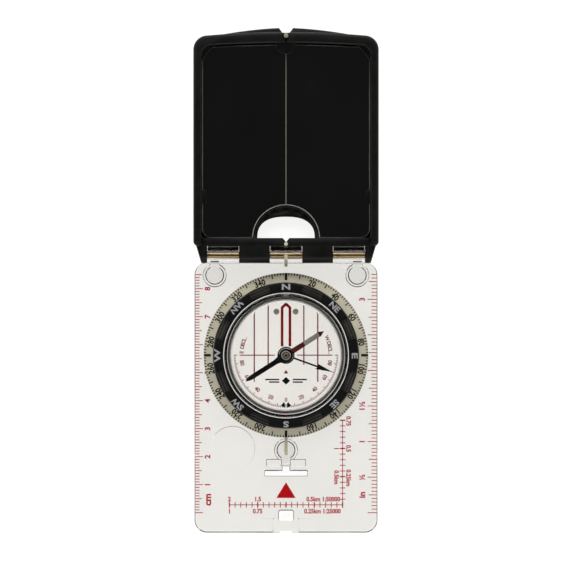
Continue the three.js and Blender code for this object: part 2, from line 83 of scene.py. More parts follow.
NEEDLE_ANGLE = 32.5
CLINOMETER_ANGLE = -19.8
SCREW_ANGLE = -45
ROUND_SIDES = 192
PAST = 1.0  # how far a cutter runs past the face it goes through


# ---- outlines, lists of (x, y)

def arc(cx, cy, radius, start, end, steps=12):
    """Points on an arc, in degrees."""
    turns = [math.radians(start + (end - start) * i / steps) for i in range(steps + 1)]
    return [(cx + radius * math.cos(a), cy + radius * math.sin(a)) for a in turns]


def circle(cx, cy, radius, steps=64):
    return arc(cx, cy, radius, 0, 360, steps)[:-1]


def rectangle(x0, x1, y0, y1, radius=0.0, steps=16):
    """A rectangle, anticlockwise, with rounded corners if radius is above 0."""
    if radius <= 0:
        return [(x0, y0), (x1, y0), (x1, y1), (x0, y1)]
    return (arc(x1 - radius, y0 + radius, radius, -90, 0, steps)
            + arc(x1 - radius, y1 - radius, radius, 0, 90, steps)
            + arc(x0 + radius, y1 - radius, radius, 90, 180, steps)
            + arc(x0 + radius, y0 + radius, radius, 180, 270, steps))


def turned_points(points, angle, cx=0.0, cy=0.0):
    c, s = math.cos(math.radians(angle)), math.sin(math.radians(angle))
    return [(cx + x * c - y * s, cy + x * s + y * c) for x, y in points]


def flipped(points):
    """The outline's mirror image in the Y axis, kept anticlockwise."""
    return [(-x, y) for x, y in reversed(points)]


def filleted(points, radius, steps=3):
    """A closed outline with every corner rounded by up to radius."""
    made = []
    count = len(points)
    for i, corner in enumerate(points):
        here = Vector(corner)
        before = Vector(points[i - 1]) - here
        after = Vector(points[(i + 1) % count]) - here
        reach = min(radius, before.length * 0.45, after.length * 0.45)
        start, end = here + before.normalized() * reach, here + after.normalized() * reach
        for k in range(steps + 1):
            t = k / steps
            made.append(tuple(start * (1 - t) ** 2 + here * 2 * t * (1 - t) + end * t ** 2))
    return made


# ---- meshes

def object_from(bm, name):
    """A new object from a bmesh in millimetres, with its faces turned out."""
    bmesh.ops.recalc_face_normals(bm, faces=bm.faces)
    bmesh.ops.scale(bm, vec=(MM, MM, MM), verts=bm.verts)
    mesh = bpy.data.meshes.new(name)
    bm.to_mesh(mesh)
    bm.free()
    piece = bpy.data.objects.new(name, mesh)
    bpy.context.scene.collection.objects.link(piece)
    smooth(piece)
    return piece


def smooth(piece, angle=35):
    """Smooth shading where faces meet at less than angle. Level and many-sided faces stay flat."""
    piece.data.shade_smooth()
    for face in piece.data.polygons:
        level = abs(face.normal.z) > 0.99999
        face.use_smooth = not (level or len(face.vertices) > 4)
    piece.data.set_sharp_from_angle(angle=math.radians(angle))


def loft(name, levels):
    """A solid through (outline, z) levels whose outlines have the same number of points."""
    bm = bmesh.new()
    rings = [[bm.verts.new((x, y, z)) for x, y in outline] for outline, z in levels]
    bm.faces.new(reversed(rings[0]))
    bm.faces.new(rings[-1])
    count = len(rings[0])
    for low, high in zip(rings, rings[1:]):
        for i in range(count):
            j = (i + 1) % count
            bm.faces.new((low[i], low[j], high[j], high[i]))
    return object_from(bm, name)


def slab(name, outline, z0, z1):
    """An outline raised from z0 to z1."""
    return loft(name, [(outline, z0), (outline, z1)])


def lathe(name, profile, cx=0.0, cy=DIAL_Y, sides=ROUND_SIDES):
    """A (radius, z) profile turned about the axis at (cx, cy). It closes, or ends on the axis."""
    on_axis = profile[0][0] == 0 and profile[-1][0] == 0
    bm = bmesh.new()
    rings = []
    for r, z in profile:
        if r == 0:
            rings.append([bm.verts.new((cx, cy, z))] * sides)
            continue
        turns = [2 * math.pi * i / sides for i in range(sides)]
        rings.append([bm.verts.new((cx + r * math.cos(a), cy + r * math.sin(a), z)) for a in turns])
    pairs = list(zip(rings, rings[1:])) + ([] if on_axis else [(rings[-1], rings[0])])
    for low, high in pairs:
        for i in range(sides):
            j = (i + 1) % sides
            corners = dict.fromkeys((low[i], low[j], high[j], high[i]))
            if len(corners) > 2:
                bm.faces.new(corners)
    return object_from(bm, name)


def bar_along_x(name, outline, x0, x1):
    """A (y, z) outline made as wide as x0 to x1."""
    piece = slab(name, outline, x0, x1)
    turn = Matrix(((0, 0, 1, 0), (1, 0, 0, 0), (0, 1, 0, 0), (0, 0, 0, 1)))
    piece.data.transform(turn)
    return piece


def applied(piece):
    """Bakes the piece's modifiers into its mesh."""
    graph = bpy.context.evaluated_depsgraph_get()
    made = bpy.data.meshes.new_from_object(piece.evaluated_get(graph))
    piece.modifiers.clear()
    piece.data = made
    return piece


def combined(piece, others, operation):
    """Joins the others to the piece or cuts them from it, and removes them."""
    for other in others:
        step = piece.modifiers.new("step", "BOOLEAN")
        step.operation = operation
        step.solver = "EXACT"
        step.object = other
    bpy.context.view_layer.update()
    applied(piece)
    for other in others:
        bpy.data.objects.remove(other)
    return piece


def add(piece, others):
    return combined(piece, others, "UNION")


def cut(piece, others):
    return combined(piece, others, "DIFFERENCE")


def eased(piece, width, steps=2, angle=40, smooth_angle=35):
    """Rounds the piece's edges that are sharper than angle."""
    bevel = piece.modifiers.new("ease", "BEVEL")
    bevel.width = width * MM
    bevel.segments = steps
    bevel.limit_method = "ANGLE"
    bevel.angle_limit = math.radians(angle)
    bpy.context.view_layer.update()
    applied(piece)
    smooth(piece, smooth_angle)
    return piece


# ---- materials

def srgb(red, green, blue):
    """A screen colour, 0 to 255, as linear light."""
    def linear(value):
        v = value / 255
        return v / 12.92 if v <= 0.04045 else ((v + 0.055) / 1.055) ** 2.4
    return (linear(red), linear(green), linear(blue), 1.0)


class Surface:
    """A Principled material whose colour, roughness and relief come from procedural noise."""

    def __init__(self, name, roughness=0.4, **fixed):
        self.material = bpy.data.materials.new(name)
        self.material.use_nodes = True
        self.links = self.material.node_tree.links
        self.shader = self.material.node_tree.nodes["Principled BSDF"]
        self.settle(self.shader, Roughness=roughness, **fixed)
        self.place = self.node("TexCoord").outputs["Object"]

    def settle(self, node, **values):
        """Sets inputs by name, with _ for a space."""
        for socket, value in values.items():
            node.inputs[socket.replace("_", " ")].default_value = value
        return node

    def node(self, kind, **values):
        return self.settle(self.material.node_tree.nodes.new("ShaderNode" + kind), **values)

    def noise(self, scale, detail=4.0, stretch=(1, 1, 1)):
        mapping = self.node("Mapping", Scale=stretch)
        self.links.new(self.place, mapping.inputs["Vector"])
        texture = self.node("TexNoise", Scale=scale, Detail=detail)
        self.links.new(mapping.outputs["Vector"], texture.inputs["Vector"])
        return texture.outputs["Fac"]

    def mottled(self, low, high, scale, stretch=(1, 1, 1)):
        """The base colour wanders between two colours."""
        ramp = self.node("ValToRGB")
        for element, position, colour in zip(ramp.color_ramp.elements, (0.35, 0.65), (low, high)):
            element.position = position
            element.color = colour
        self.links.new(self.noise(scale, stretch=stretch), ramp.inputs["Fac"])
        self.links.new(ramp.outputs["Color"], self.shader.inputs["Base Color"])
        return self

    def rough_between(self, low, high, scale, stretch=(1, 1, 1)):
        spread = self.node("MapRange", From_Min=0.3, From_Max=0.7, To_Min=low, To_Max=high)
        self.links.new(self.noise(scale, stretch=stretch), spread.inputs["Value"])
        self.links.new(spread.outputs["Result"], self.shader.inputs["Roughness"])
        return self

    def grained(self, scale, height_mm, stretch=(1, 1, 1), detail=2.0):
        bump = self.node("Bump", Strength=1.0, Distance=height_mm * MM)
        self.links.new(self.noise(scale, detail, stretch), bump.inputs["Height"])
        self.links.new(bump.outputs["Normal"], self.shader.inputs["Normal"])
        return self


def clear_plastic(name, tint, roughness_low, roughness_high, **fixed):
    made = Surface(name, Transmission_Weight=1.0, IOR=1.49, **fixed)
    made.mottled(tint, shade(tint, 0.985), 25)
    return made.rough_between(roughness_low, roughness_high, 60).material


def film(name, tint):
    """A clear disc that lies in liquid, so it hardly bends or reflects light."""
    made = Surface(name, Transmission_Weight=1.0, IOR=1.06)
    made.mottled(tint, shade(tint, 0.99), 40)
    return made.rough_between(0.0, 0.01, 90).material


def shade(colour, share):
    """A colour with its light scaled by share."""
    return tuple(share * c for c in colour[:3]) + (1.0,)


def ink(name, colour, roughness=0.55):
    made = Surface(name, Specular_IOR_Level=0.15)
    made.mottled(colour, shade(colour, 0.86), 900)
    made.rough_between(roughness - 0.1, roughness + 0.1, 700)
    return made.grained(2500, 0.004).material


def moulded(name, low, high, roughness, grain_mm=0.012, grain_scale=2200, gloss=0.3):
    """Opaque plastic or coating, mottled between two screen colours."""
    made = Surface(name, Specular_IOR_Level=gloss)
    made.mottled(srgb(*low), srgb(*high), 120)
    made.rough_between(roughness - 0.06, roughness + 0.06, 300)
    return made.grained(grain_scale, grain_mm).material


def metal(name, low, high, roughness, stretch, scale=300):
    made = Surface(name, Metallic=1.0)
    made.mottled(low, high, scale, stretch)
    made.rough_between(roughness, roughness + 0.12, scale, stretch)
    return made.grained(scale * 2, 0.003, stretch).material


ACRYLIC = clear_plastic("clear_acrylic", (0.885, 0.872, 0.842, 1.0), 0.0, 0.01)
DOME_ACRYLIC = clear_plastic("dome_acrylic", (0.995, 0.992, 0.985, 1.0), 0.0, 0.01)
SILICONE = clear_plastic("clear_silicone", (1.0, 1.0, 0.995, 1.0), 0.0, 0.02)
WET_FILM = film("clear_disc_in_liquid", (0.975, 0.965, 0.945, 1.0))
BLACK_ABS = moulded("black_moulding", (11, 11, 10), (18, 18, 17), 0.38, gloss=0.2)
BLACK_GRIP = moulded("black_grip", (8, 9, 8), (14, 15, 13), 0.45, gloss=0.15)
# Lighter colour for the upward-sloping recess faces: painted sheen where the ridges catch light; the grain
# bump is real relief.
GRIP_PAINTED_SHEEN = moulded("black_grip_painted_sheen", (38, 36, 34), (56, 54, 50), 0.6, 0.03, 1800)
BLACK_SOFT = moulded("black_gear", (22, 21, 20), (34, 33, 31), 0.45)
BLACK_COAT = moulded("black_coat", (16, 17, 14), (22, 23, 20), 0.35, 0.004)
RED_COAT = moulded("red_coat", (84, 18, 20), (98, 28, 28), 0.4, 0.004)
NEEDLE_LUME = moulded("needle_luminous", (166, 160, 148), (178, 171, 158), 0.7, 0.01, 3000)
LUMINOUS = moulded("luminous_plastic", (180, 174, 153), (194, 188, 166), 0.6, 0.01, 2500)
LUMINOUS_BAR = moulded("luminous_bar", (180, 172, 142), (198, 192, 168), 0.6, 0.01, 2500)
# Near-white for the ring round the dome's edge: a painted highlight standing in for the bright edge of the
# capsule's crystal.
RIM_PAINTED_HIGHLIGHT = moulded("painted_highlight_white", (226, 226, 224), (240, 240, 238), 0.5, 0.01, 1500)
# Light grey for the capsule seal: partly the seal's own grey, partly a painted reflection standing in for the
# silver ring that the capsule wall shows.
SEAL_GREY_AND_REFLECTION = moulded("grey_seal", (150, 147, 141), (186, 182, 175), 0.4, 0.02, 900)
TAPE = moulded("foam_tape", (214, 213, 208), (232, 231, 226), 0.9, 0.05, 800)
BRASS = metal("drawn_brass", srgb(168, 140, 96), srgb(190, 163, 118), 0.25, (1, 12, 12))
BRASS_DARK = metal("jewel_brass", srgb(112, 96, 70), srgb(132, 112, 80), 0.35, (1, 1, 1), 900)
STEEL = metal("ground_steel", srgb(140, 141, 144), srgb(170, 171, 174), 0.3, (1, 1, 10))
MIRROR = metal("silvered_glass", (0.80, 0.80, 0.79, 1.0), (0.84, 0.84, 0.83, 1.0), 0.0, (1, 1, 1), 20)
JEWEL = clear_plastic("jewel_glass", (0.55, 0.52, 0.5, 1.0), 0.05, 0.15)
RED_INK = ink("red_ink", srgb(182, 0, 14))
SCALE_INK = ink("scale_red_ink", srgb(178, 16, 38))
FADED_INK = ink("faded_red_ink", srgb(205, 70, 90))
BLACK_INK = ink("black_ink", srgb(18, 18, 16))
LETTER_INK = ink("letter_ink", srgb(158, 158, 161))
SIGHT_INK = ink("sight_line_ink", srgb(112, 107, 98))
PALE_BEVEL_COLOUR = moulded("pale_mirror_bevel", (172, 168, 158), (206, 202, 192), 0.6, 0.02, 2600)


# ---- dressing pieces

def dress(piece, material, body, stands_for=()):
    """Gives a new piece its material and body, and hides the CAD nodes that it stands for."""
    piece.data.materials.clear()
    piece.data.materials.append(material)
    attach(piece, body)
    if stands_for:
        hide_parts(*stands_for)
    return piece


def dress_node(node, material):
    """A better material for a CAD node that keeps its own mesh."""
    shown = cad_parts[node]
    shown.data.materials.clear()
    shown.data.materials.append(material)


# ---- baseplate

KNUCKLES = [(-28.0, -16.8), (-5.65, 5.65), (16.8, 28.0)]
LEG_FRONT, LEG_BACK = HINGE_Y - KNUCKLE_RADIUS, HINGE_Y - 0.4
APERTURE_RADIUS = 24.8
COUNTERBORE_RADIUS, COUNTERBORE_TOP = 27.6, 1.9
FOOT_RADIUS, FOOT_RECESS, FOOT_TOP = 3.0, 3.15, 1.5
FEET = ("foot_left", "foot_right", "foot_front")
LENS_X, LENS_Y, LENS_RADIUS, LENS_RISE = -19.1, -59.9, 7.9, 0.6


def foot_centre(node):
    """The middle of a foot's disc, whose neck sticks out on one side."""
    low, high = mm_box(node)
    neck_is_rear = low.y > -20
    y = low.y + FOOT_RADIUS if neck_is_rear else high.y - FOOT_RADIUS
    return (low.x + high.x) / 2, y, neck_is_rear


def foot_outline(cx, cy, radius, half_neck, neck_is_rear):
    """A disc with a short neck, towards the hinge or away from it."""
    lean = math.degrees(math.asin(half_neck / radius))
    round_part = arc(0, 0, radius, 90 + lean, 450 - lean, 64)
    outline = round_part + [(half_neck, radius + 2.0), (-half_neck, radius + 2.0)]
    return turned_points(outline, 0 if neck_is_rear else 180, cx, cy)


def knuckle(x0, x1):
    """One hinge knuckle with the leg it stands on, without its bore."""
    rear_turn = -math.degrees(math.acos((LEG_BACK - HINGE_Y) / KNUCKLE_RADIUS))
    side = ([(LEG_FRONT - 1.2, PLATE_BOTTOM), (LEG_BACK, PLATE_BOTTOM)]
            + arc(HINGE_Y, HINGE_Z, KNUCKLE_RADIUS, rear_turn, 180, 48)
            + [(LEG_FRONT, PLATE_TOP + 0.25), (LEG_FRONT - 0.25, PLATE_TOP), (LEG_FRONT - 1.2, PLATE_TOP)])
    return bar_along_x("knuckle", side, x0, x1)


def lens():
    """The magnifier: a shallow cap moulded into the plate's top."""
    profile = [(0.0, PLATE_TOP - 0.5), (LENS_RADIUS, PLATE_TOP - 0.5)]
    steps = 16
    step = 0.25
    profile.append((LENS_RADIUS, PLATE_TOP))
    for i in range(steps + 1):
        r = (LENS_RADIUS - step) * (1 - i / steps)
        profile.append((r, PLATE_TOP + step + (LENS_RISE - step) * (1 - (r / LENS_RADIUS) ** 2)))
    return lathe("lens", profile, LENS_X, LENS_Y, 96)


UPPER_CHAMFER, LOWER_CHAMFER = 0.06, 0.26


def stepped(name, outline_of, levels):
    """A loft through (inset, z) levels. outline_of(inset) is the outline moved in by inset."""
    return loft(name, [(outline_of(inset), z) for inset, z in levels])


def chamfered(name, outline_of):
    """A slab as thick as the plate, with its edges cut back."""
    return stepped(name, outline_of, [
        (LOWER_CHAMFER, PLATE_BOTTOM), (0, PLATE_BOTTOM + LOWER_CHAMFER),
        (0, PLATE_TOP - UPPER_CHAMFER), (UPPER_CHAMFER, PLATE_TOP),
    ])


def flared(name, outline_of):
    """A cutter for a hole through the plate whose rims are cut back in the same way."""
    return stepped(name, outline_of, [
        (-LOWER_CHAMFER, PLATE_BOTTOM - PAST), (-LOWER_CHAMFER, PLATE_BOTTOM),
        (0, PLATE_BOTTOM + LOWER_CHAMFER), (0, PLATE_TOP - UPPER_CHAMFER),
        (-UPPER_CHAMFER, PLATE_TOP), (-UPPER_CHAMFER, PLATE_TOP + PAST),
    ])


def ring_groove(name, radius, half_width, depth, cx, cy, sides):
    """A cutter for a fine V-shaped ring in the plate's underside."""
    inner, outer = radius - half_width, radius + half_width
    profile = [(inner, PLATE_BOTTOM - PAST), (outer, PLATE_BOTTOM - PAST), (outer, PLATE_BOTTOM),
               (radius, PLATE_BOTTOM + depth), (inner, PLATE_BOTTOM)]
    return lathe(name, profile, cx, cy, sides)


def box_outline(x0, x1, y0, y1, radius):
    """A rounded rectangle, as a function of how far it is moved in."""
    return lambda inset: rectangle(x0 + inset, x1 - inset, y0 + inset, y1 - inset, max(radius - inset, 0.05))


def through(name, outline):
    return slab(name, outline, PLATE_BOTTOM - PAST, PLATE_TOP + PAST)


def latch_cutters():
    """The cord slot: a gap between two snap tongues, which bend where the plate is thinned."""
    rim_depth, rim_corner = 0.3, 0.7
    rim_foot = rectangle(-7.8, 7.8, -69.85, -66.25, 0.6)
    rim = rectangle(-8.1, 8.1, -70.0, -66.1, rim_corner)
    made = [
        flared("slot", box_outline(-7.65, 7.65, -69.7, -67.9, 0.5)),
        flared("gap", box_outline(-1.25, 1.25, -68.4, -66.3, 0.3)),
        loft("slot_rim", [(rim_foot, PLATE_TOP - rim_depth), (rim, PLATE_TOP), (rim, PLATE_TOP + PAST)]),
    ]
    thinned_z, roof_z, corner = 1.8, 2.0, 0.3
    for side in (-1, 1):
        wide = rectangle(*sorted((side * 1.5, side * 7.1)), -66.2, -63.7, corner)
        narrow = rectangle(*sorted((side * 1.7, side * 6.9)), -66.0, -63.9, corner)
        made.append(loft("thinning", [(wide, PLATE_BOTTOM - PAST), (wide, thinned_z), (narrow, roof_z)]))
    return made


BRIDGE_BOTTOM, BRIDGE_TOP = 1.4, 2.6
BRIDGE_HALF, BRIDGE_FRONT, BRIDGE_BACK = 2.3, -89.5, -85.7


def cord_hole_cutters():
    """The hole at the front edge, closed by a thin bridge between two lugs."""
    front = FRONT_END - PAST
    room = rectangle(-BRIDGE_HALF, BRIDGE_HALF, front, BRIDGE_BACK)
    return [
        flared("cord_hole", box_outline(-2.55, 2.55, -85.8, -82.1, 0.7)),
        through("bridge_front", rectangle(-BRIDGE_HALF, BRIDGE_HALF, front, BRIDGE_FRONT)),
        slab("bridge_top", room, BRIDGE_TOP, PLATE_TOP + PAST),
        slab("bridge_under", room, PLATE_BOTTOM - PAST, BRIDGE_BOTTOM),
    ]


def foot_cutters():
    """The recesses that the feet sit in, each with a fine ring round it."""
    taper = 0.8
    made = []
    for node in FEET:
        cx, cy, neck_is_rear = foot_centre(node)
        wide = foot_outline(cx, cy, FOOT_RECESS + 0.2, 1.6, neck_is_rear)
        narrow = foot_outline(cx, cy, FOOT_RECESS - 0.13, 1.5, neck_is_rear)
        levels = [(wide, PLATE_BOTTOM - PAST), (wide, FOOT_TOP - taper), (narrow, FOOT_TOP)]
        made.append(loft("recess", levels))
        made.append(ring_groove("groove", 4.1, 0.15, 0.14, cx, cy, 72))
    return made


def rear_bar_cutter():
    """Room for the luminous strip that runs over the centre knuckle."""
    outer = arc(HINGE_Y, HINGE_Z, KNUCKLE_RADIUS + 0.6, 86, 180, 24)
    inner = arc(HINGE_Y, HINGE_Z, KNUCKLE_RADIUS - 0.35, 180, 84, 24)
    foot = [(outer[-1][0], PLATE_TOP + 0.5), (5.05, PLATE_TOP + 0.5), (5.05, PLATE_TOP + 0.04),
            (inner[0][0], PLATE_TOP + 0.04)]
    return bar_along_x("rear_bar_room", outer + foot + inner, -0.6, 0.6)


def moulding_lines():
    """Fine V-shaped lines in the underside round the cord bridge, where two depths of the mould meet."""
    depth, sharp = 0.22, 0.01
    lines = []
    for side in (-1, 1):
        for x, width, y0, y1 in ((2.6, 0.1, -89.5, -86.2), (4.6, 0.14, -89.6, -85.1),
                                 (4.5, 0.44, -89.6, -88.7), (4.5, 0.44, -85.5, -85.0)):
            lines.append((*sorted((side * (x - width / 2), side * (x + width / 2))), y0, y1))
        lines.append((*sorted((side * 4.8, side * 8.8)), -85.2, -85.1))
    lines.append((-2.4, 2.4, -86.35, -86.25))
    made = []
    for x0, x1, y0, y1 in lines:
        inset = min(x1 - x0, y1 - y0) / 2 - sharp
        made.append(loft("mould_line", [
            (rectangle(x0, x1, y0, y1), PLATE_BOTTOM - PAST),
            (rectangle(x0, x1, y0, y1), PLATE_BOTTOM),
            (rectangle(x0 + inset, x1 - inset, y0 + inset, y1 - inset), PLATE_BOTTOM + depth),
        ]))
    return made


REAR_EDGE_Y = 6.55
PLATE_CORNER = 4.5
FRONT_STEP = 0.4


def plate_outline(inset):
    half = PLATE_HALF_WIDTH - inset
    front = FRONT_END + 0.2 + inset  # the lugs stand 0.2 in front of the plate
    return rectangle(-half, half, front, REAR_EDGE_Y - inset, PLATE_CORNER - inset)


def front_step():
    """A cutter for the shallow step in the plate's top, in front of the cord hole."""
    front = FRONT_END - PAST
    foot = rectangle(-8.8, 8.8, front, -85.4)
    top = rectangle(-9.1, 9.1, front, -85.1)
    return loft("front_step", [(foot, PLATE_TOP - FRONT_STEP), (top, PLATE_TOP), (top, PLATE_TOP + PAST)])


def lug(side):
    """The lug at one end of the cord bridge."""
    outline_of = box_outline(*sorted((side * 2.4, side * 4.6)), FRONT_END, -84.9, 0.8)
    return stepped("lug", outline_of, [
        (LOWER_CHAMFER, PLATE_BOTTOM), (0, PLATE_BOTTOM + LOWER_CHAMFER),
        (0, PLATE_TOP - FRONT_STEP), (0.28, PLATE_TOP),
    ])


def knuckle_pads():
    """Low steps on the plate's top, in front of the knuckles."""
    near, far, rise = 3.3, 6.2, 0.07
    return [slab("pad", rectangle(x - half, x + half, near, far), PLATE_TOP - 0.5, PLATE_TOP + rise)
            for x, half in ((0, 5.9), (-15.6, 1.6), (15.6, 1.6))]


def make_baseplate():
    plate = chamfered("base_plate", plate_outline)
    cut(plate, [front_step()])
    add(plate, [lens(), *knuckle_pads(), lug(-1), lug(1), *(knuckle(x0, x1) for x0, x1 in KNUCKLES)])
    bore = bar_along_x("bore", circle(HINGE_Y, HINGE_Z, PIN_RADIUS + 0.03, 64), -30, 30)
    bar_room = rectangle(front_bar_low.x - 0.05, front_bar_high.x + 0.05, front_bar_low.y - 0.05, -53.9)
    counterbore = circle(0, DIAL_Y, COUNTERBORE_RADIUS, ROUND_SIDES)
    cut(plate, [
        through("aperture", circle(0, DIAL_Y, APERTURE_RADIUS, ROUND_SIDES)),
        slab("counterbore", counterbore, PLATE_BOTTOM - PAST, COUNTERBORE_TOP),
        *foot_cutters(), *latch_cutters(), *cord_hole_cutters(), bore, *moulding_lines(),
        ring_groove("lens_groove", LENS_RADIUS, 0.07, 0.1, LENS_X, LENS_Y, 128),
        slab("front_bar_room", bar_room, front_bar_low.z - 0.04, PLATE_TOP + PAST),
        rear_bar_cutter(),
    ])
    smooth(plate, 8)
    dress(plate, ACRYLIC, "base", ["baseplate"])


def make_feet():
    for node in FEET:
        cx, cy, neck_is_rear = foot_centre(node)
        low, high = mm_box(node)
        disc_part = slab("silicone_" + node, circle(cx, cy, FOOT_RADIUS, 64), low.z, high.z)
        neck = foot_outline(cx, cy, FOOT_RADIUS - 0.3, 1.45, neck_is_rear)
        add(disc_part, [slab("neck", neck, PLATE_BOTTOM, high.z)])
        eased(disc_part, 0.15, 3)
        dress(disc_part, SILICONE, "base", [node])


def make_hinge_pin():
    outline = circle(HINGE_Y, HINGE_Z, PIN_RADIUS, 64)
    pin = eased(bar_along_x("brass_hinge_pin", outline, pin_low.x, pin_high.x), 0.2, 3)
    dress(pin, BRASS, "base", ["hinge_pin"])


# ---- printing

PRINT_BOTTOM, PRINT_TOP = 0.005, 0.02  # above the printed surface
CAP_HEIGHT = 0.729  # of the built-in font at size 1


class Print:
    """Printed marks gathered into one thin raised mesh. lift gives the height of the surface under (x, y)."""

    def __init__(self, name, lift):
        self.name = name
        self.lift = lift
        self.bm = bmesh.new()

    def shape(self, outline):
        """One solid mark with this outline."""
        floor = [self.bm.verts.new((x, y, self.lift(x, y) + PRINT_BOTTOM)) for x, y in outline]
        top = [self.bm.verts.new((x, y, self.lift(x, y) + PRINT_TOP)) for x, y in outline]
        self.bm.faces.new(reversed(floor))
        self.bm.faces.new(top)
        for i in range(len(outline)):
            j = (i + 1) % len(outline)
            self.bm.faces.new((floor[i], floor[j], top[j], top[i]))

    def pair(self, outline):
        """A mark given about the dial's centre, and its mirror image."""
        for points in (outline, flipped(outline)):
            self.shape([(x, DIAL_Y + y) for x, y in points])

    def line(self, x0, y0, x1, y1, width):
        along = Vector((x1 - x0, y1 - y0))
        side = Vector((-along.y, along.x)).normalized() * (width / 2)
        self.shape([(x0 - side.x, y0 - side.y), (x1 - side.x, y1 - side.y),
                    (x1 + side.x, y1 + side.y), (x0 + side.x, y0 + side.y)])

    def spoke(self, azimuth, r0, r1, width):
        """A mark along a radius of the dial. Azimuth 0 is +Y and grows clockwise."""
        a = math.radians(90 - azimuth)
        c, s = math.cos(a), math.sin(a)
        self.line(r0 * c, DIAL_Y + r0 * s, r1 * c, DIAL_Y + r1 * s, width)

    def text(self, words, x, y, height, angle=0.0, stretch=1.0, weight=0.0, spacing=1.0):
        """Words centred at (x, y), turned anticlockwise by angle."""
        font = bpy.data.curves.new("words", "FONT")
        font.body = words
        font.align_x = "CENTER"
        font.space_character = spacing
        font.offset = weight
        font.resolution_u = 3
        font.extrude = 0.5
        holder = bpy.data.objects.new("words", font)
        bpy.context.scene.collection.objects.link(holder)
        bpy.context.view_layer.update()
        graph = bpy.context.evaluated_depsgraph_get()
        mesh = bpy.data.meshes.new_from_object(holder.evaluated_get(graph))
        size = height / CAP_HEIGHT
        c, s = math.cos(math.radians(angle)), math.sin(math.radians(angle))
        start = len(self.bm.verts)
        self.bm.from_mesh(mesh)
        self.bm.verts.ensure_lookup_table()
        for vert in self.bm.verts[start:]:
            u, v = vert.co.x * size * stretch, (vert.co.y - CAP_HEIGHT / 2) * size
            px, py = x + u * c - v * s, y + u * s + v * c
            raised = PRINT_TOP if vert.co.z > 0 else PRINT_BOTTOM
            vert.co = (px, py, self.lift(px, py) + raised)
        bpy.data.objects.remove(holder)
        bpy.data.meshes.remove(mesh)

    def ring_text(self, words, azimuth, radius, height, inward=False, **style):
        """Words on the dial at an azimuth, their tops outward, or inward."""
        a = math.radians(90 - azimuth)
        turn = -azimuth + (180 if inward else 0)
        self.text(words, radius * math.cos(a), DIAL_Y + radius * math.sin(a), height, turn, **style)

    def made(self, material, body):
        bmesh.ops.remove_doubles(self.bm, verts=self.bm.verts, dist=1e-5)
        return dress(object_from(self.bm, self.name), material, body)


def on_plate(x, y):
    return PLATE_TOP


RULER_ZERO_Y = -82.8
INCH = 25.4


def ruler_ticks(ink_print, side, spacing, count, lengths):
    """Ticks in from one edge. lengths maps a tick's number to its length."""
    edge = PLATE_HALF_WIDTH - 0.15
    for i in range(count + 1):
        y = RULER_ZERO_Y + i * spacing
        ink_print.line(side * edge, y, side * (edge - lengths(i)), y, 0.3)


def make_rulers():
    rulers = Print("print_rulers", on_plate)
    ruler_ticks(rulers, -1, 1.0, 85, lambda i: 2.85 if i % 10 == 0 else 2.5 if i % 5 == 0 else 1.65)
    ruler_ticks(rulers, 1, INCH / 20, 67, lambda i: 3.4 if i % 10 == 0 else 3.0 if i % 5 == 0 else 2.0)
    left_x, right_x = -28.1, 27.1
    for centimetre in range(1, 9):
        rulers.text(str(centimetre), left_x, RULER_ZERO_Y + 10 * centimetre, 1.95, 90, weight=0.035)
    rulers.text("cm", left_x, RULER_ZERO_Y + 4.65, 2.5, 90, stretch=1.05, weight=0.04)
    for half in range(1, 7):
        whole, odd = divmod(half, 2)
        label = (str(whole) if whole else "") + ("½" if odd else "")
        rulers.text(label, right_x, RULER_ZERO_Y + half * INCH / 2, 1.95, 90, weight=0.035)
    rulers.text("in", right_x, RULER_ZERO_Y + 6.35, 2.2, 90, stretch=1.05, weight=0.04)
    rulers.made(SCALE_INK, "base")


SCALE_LINE_Y, SCALE_HALF, SCALE_RISE = -80.0, 20.2, 30.2
THIN_STROKE, TICK_STROKE, BOLD_STROKE = 0.28, 0.3, 0.45


def make_map_scales():
    """A level scale, and an upright one from its right end, both with a tick for each division."""
    scales = Print("print_map_scales", on_plate)
    level, half = SCALE_LINE_Y, SCALE_HALF
    scales.line(-half, level, half, level, THIN_STROKE)
    for i in range(21):
        x = -half + i * 2 * half / 20
        scales.line(x, level - 1.0, x, level + 1.0, TICK_STROKE if i % 5 else BOLD_STROKE)
    style = {"stretch": 0.92, "weight": 0.04}
    letter_height = 1.6
    for words, x in (("2", -half), ("1.5", -half / 2), ("0.5km 1:50000", 13.3)):
        scales.text(words, x, level + 2.1, letter_height, **style)
    for words, x in (("1", -half), ("0.75", -half / 2), ("0.25km 1:25000", 13.0)):
        scales.text(words, x, level - 2.2, letter_height, **style)
    scales.line(half, level, half, level + SCALE_RISE, THIN_STROKE)
    for i in range(1, 16):
        y = level + i * SCALE_RISE / 15
        scales.line(half - 1.0, y, half + 1.0, y, TICK_STROKE if i % 5 else BOLD_STROKE)
    for words, y in (("0.75", -50.1), ("0.5", -59.9), ("0.25km", -70.4)):
        scales.text(words, half + 2.2, y, letter_height, -90, **style)
    for words, y in (("1", -59.9), ("0.5km", -70.2)):
        scales.text(words, half - 2.1, y, letter_height, -90, **style)
    scales.made(SCALE_INK, "base")


def make_travel_mark():
    mark = Print("print_travel_triangle", on_plate)
    mark.shape([(-3.45, -77.55), (3.45, -77.55), (0, -71.9)])
    mark.made(RED_INK, "base")


# ---- bezel

RING_EDGE_Z = 4.5
RING_INNER, RING_INNER_Z = 26.2, 6.65


def on_degree_ring(x, y):
    r = math.hypot(x, y - DIAL_Y)
    fall = (RING_INNER_Z - RING_EDGE_Z) / (RING_RADIUS - RING_INNER)
    return RING_INNER_Z - (r - RING_INNER) * fall


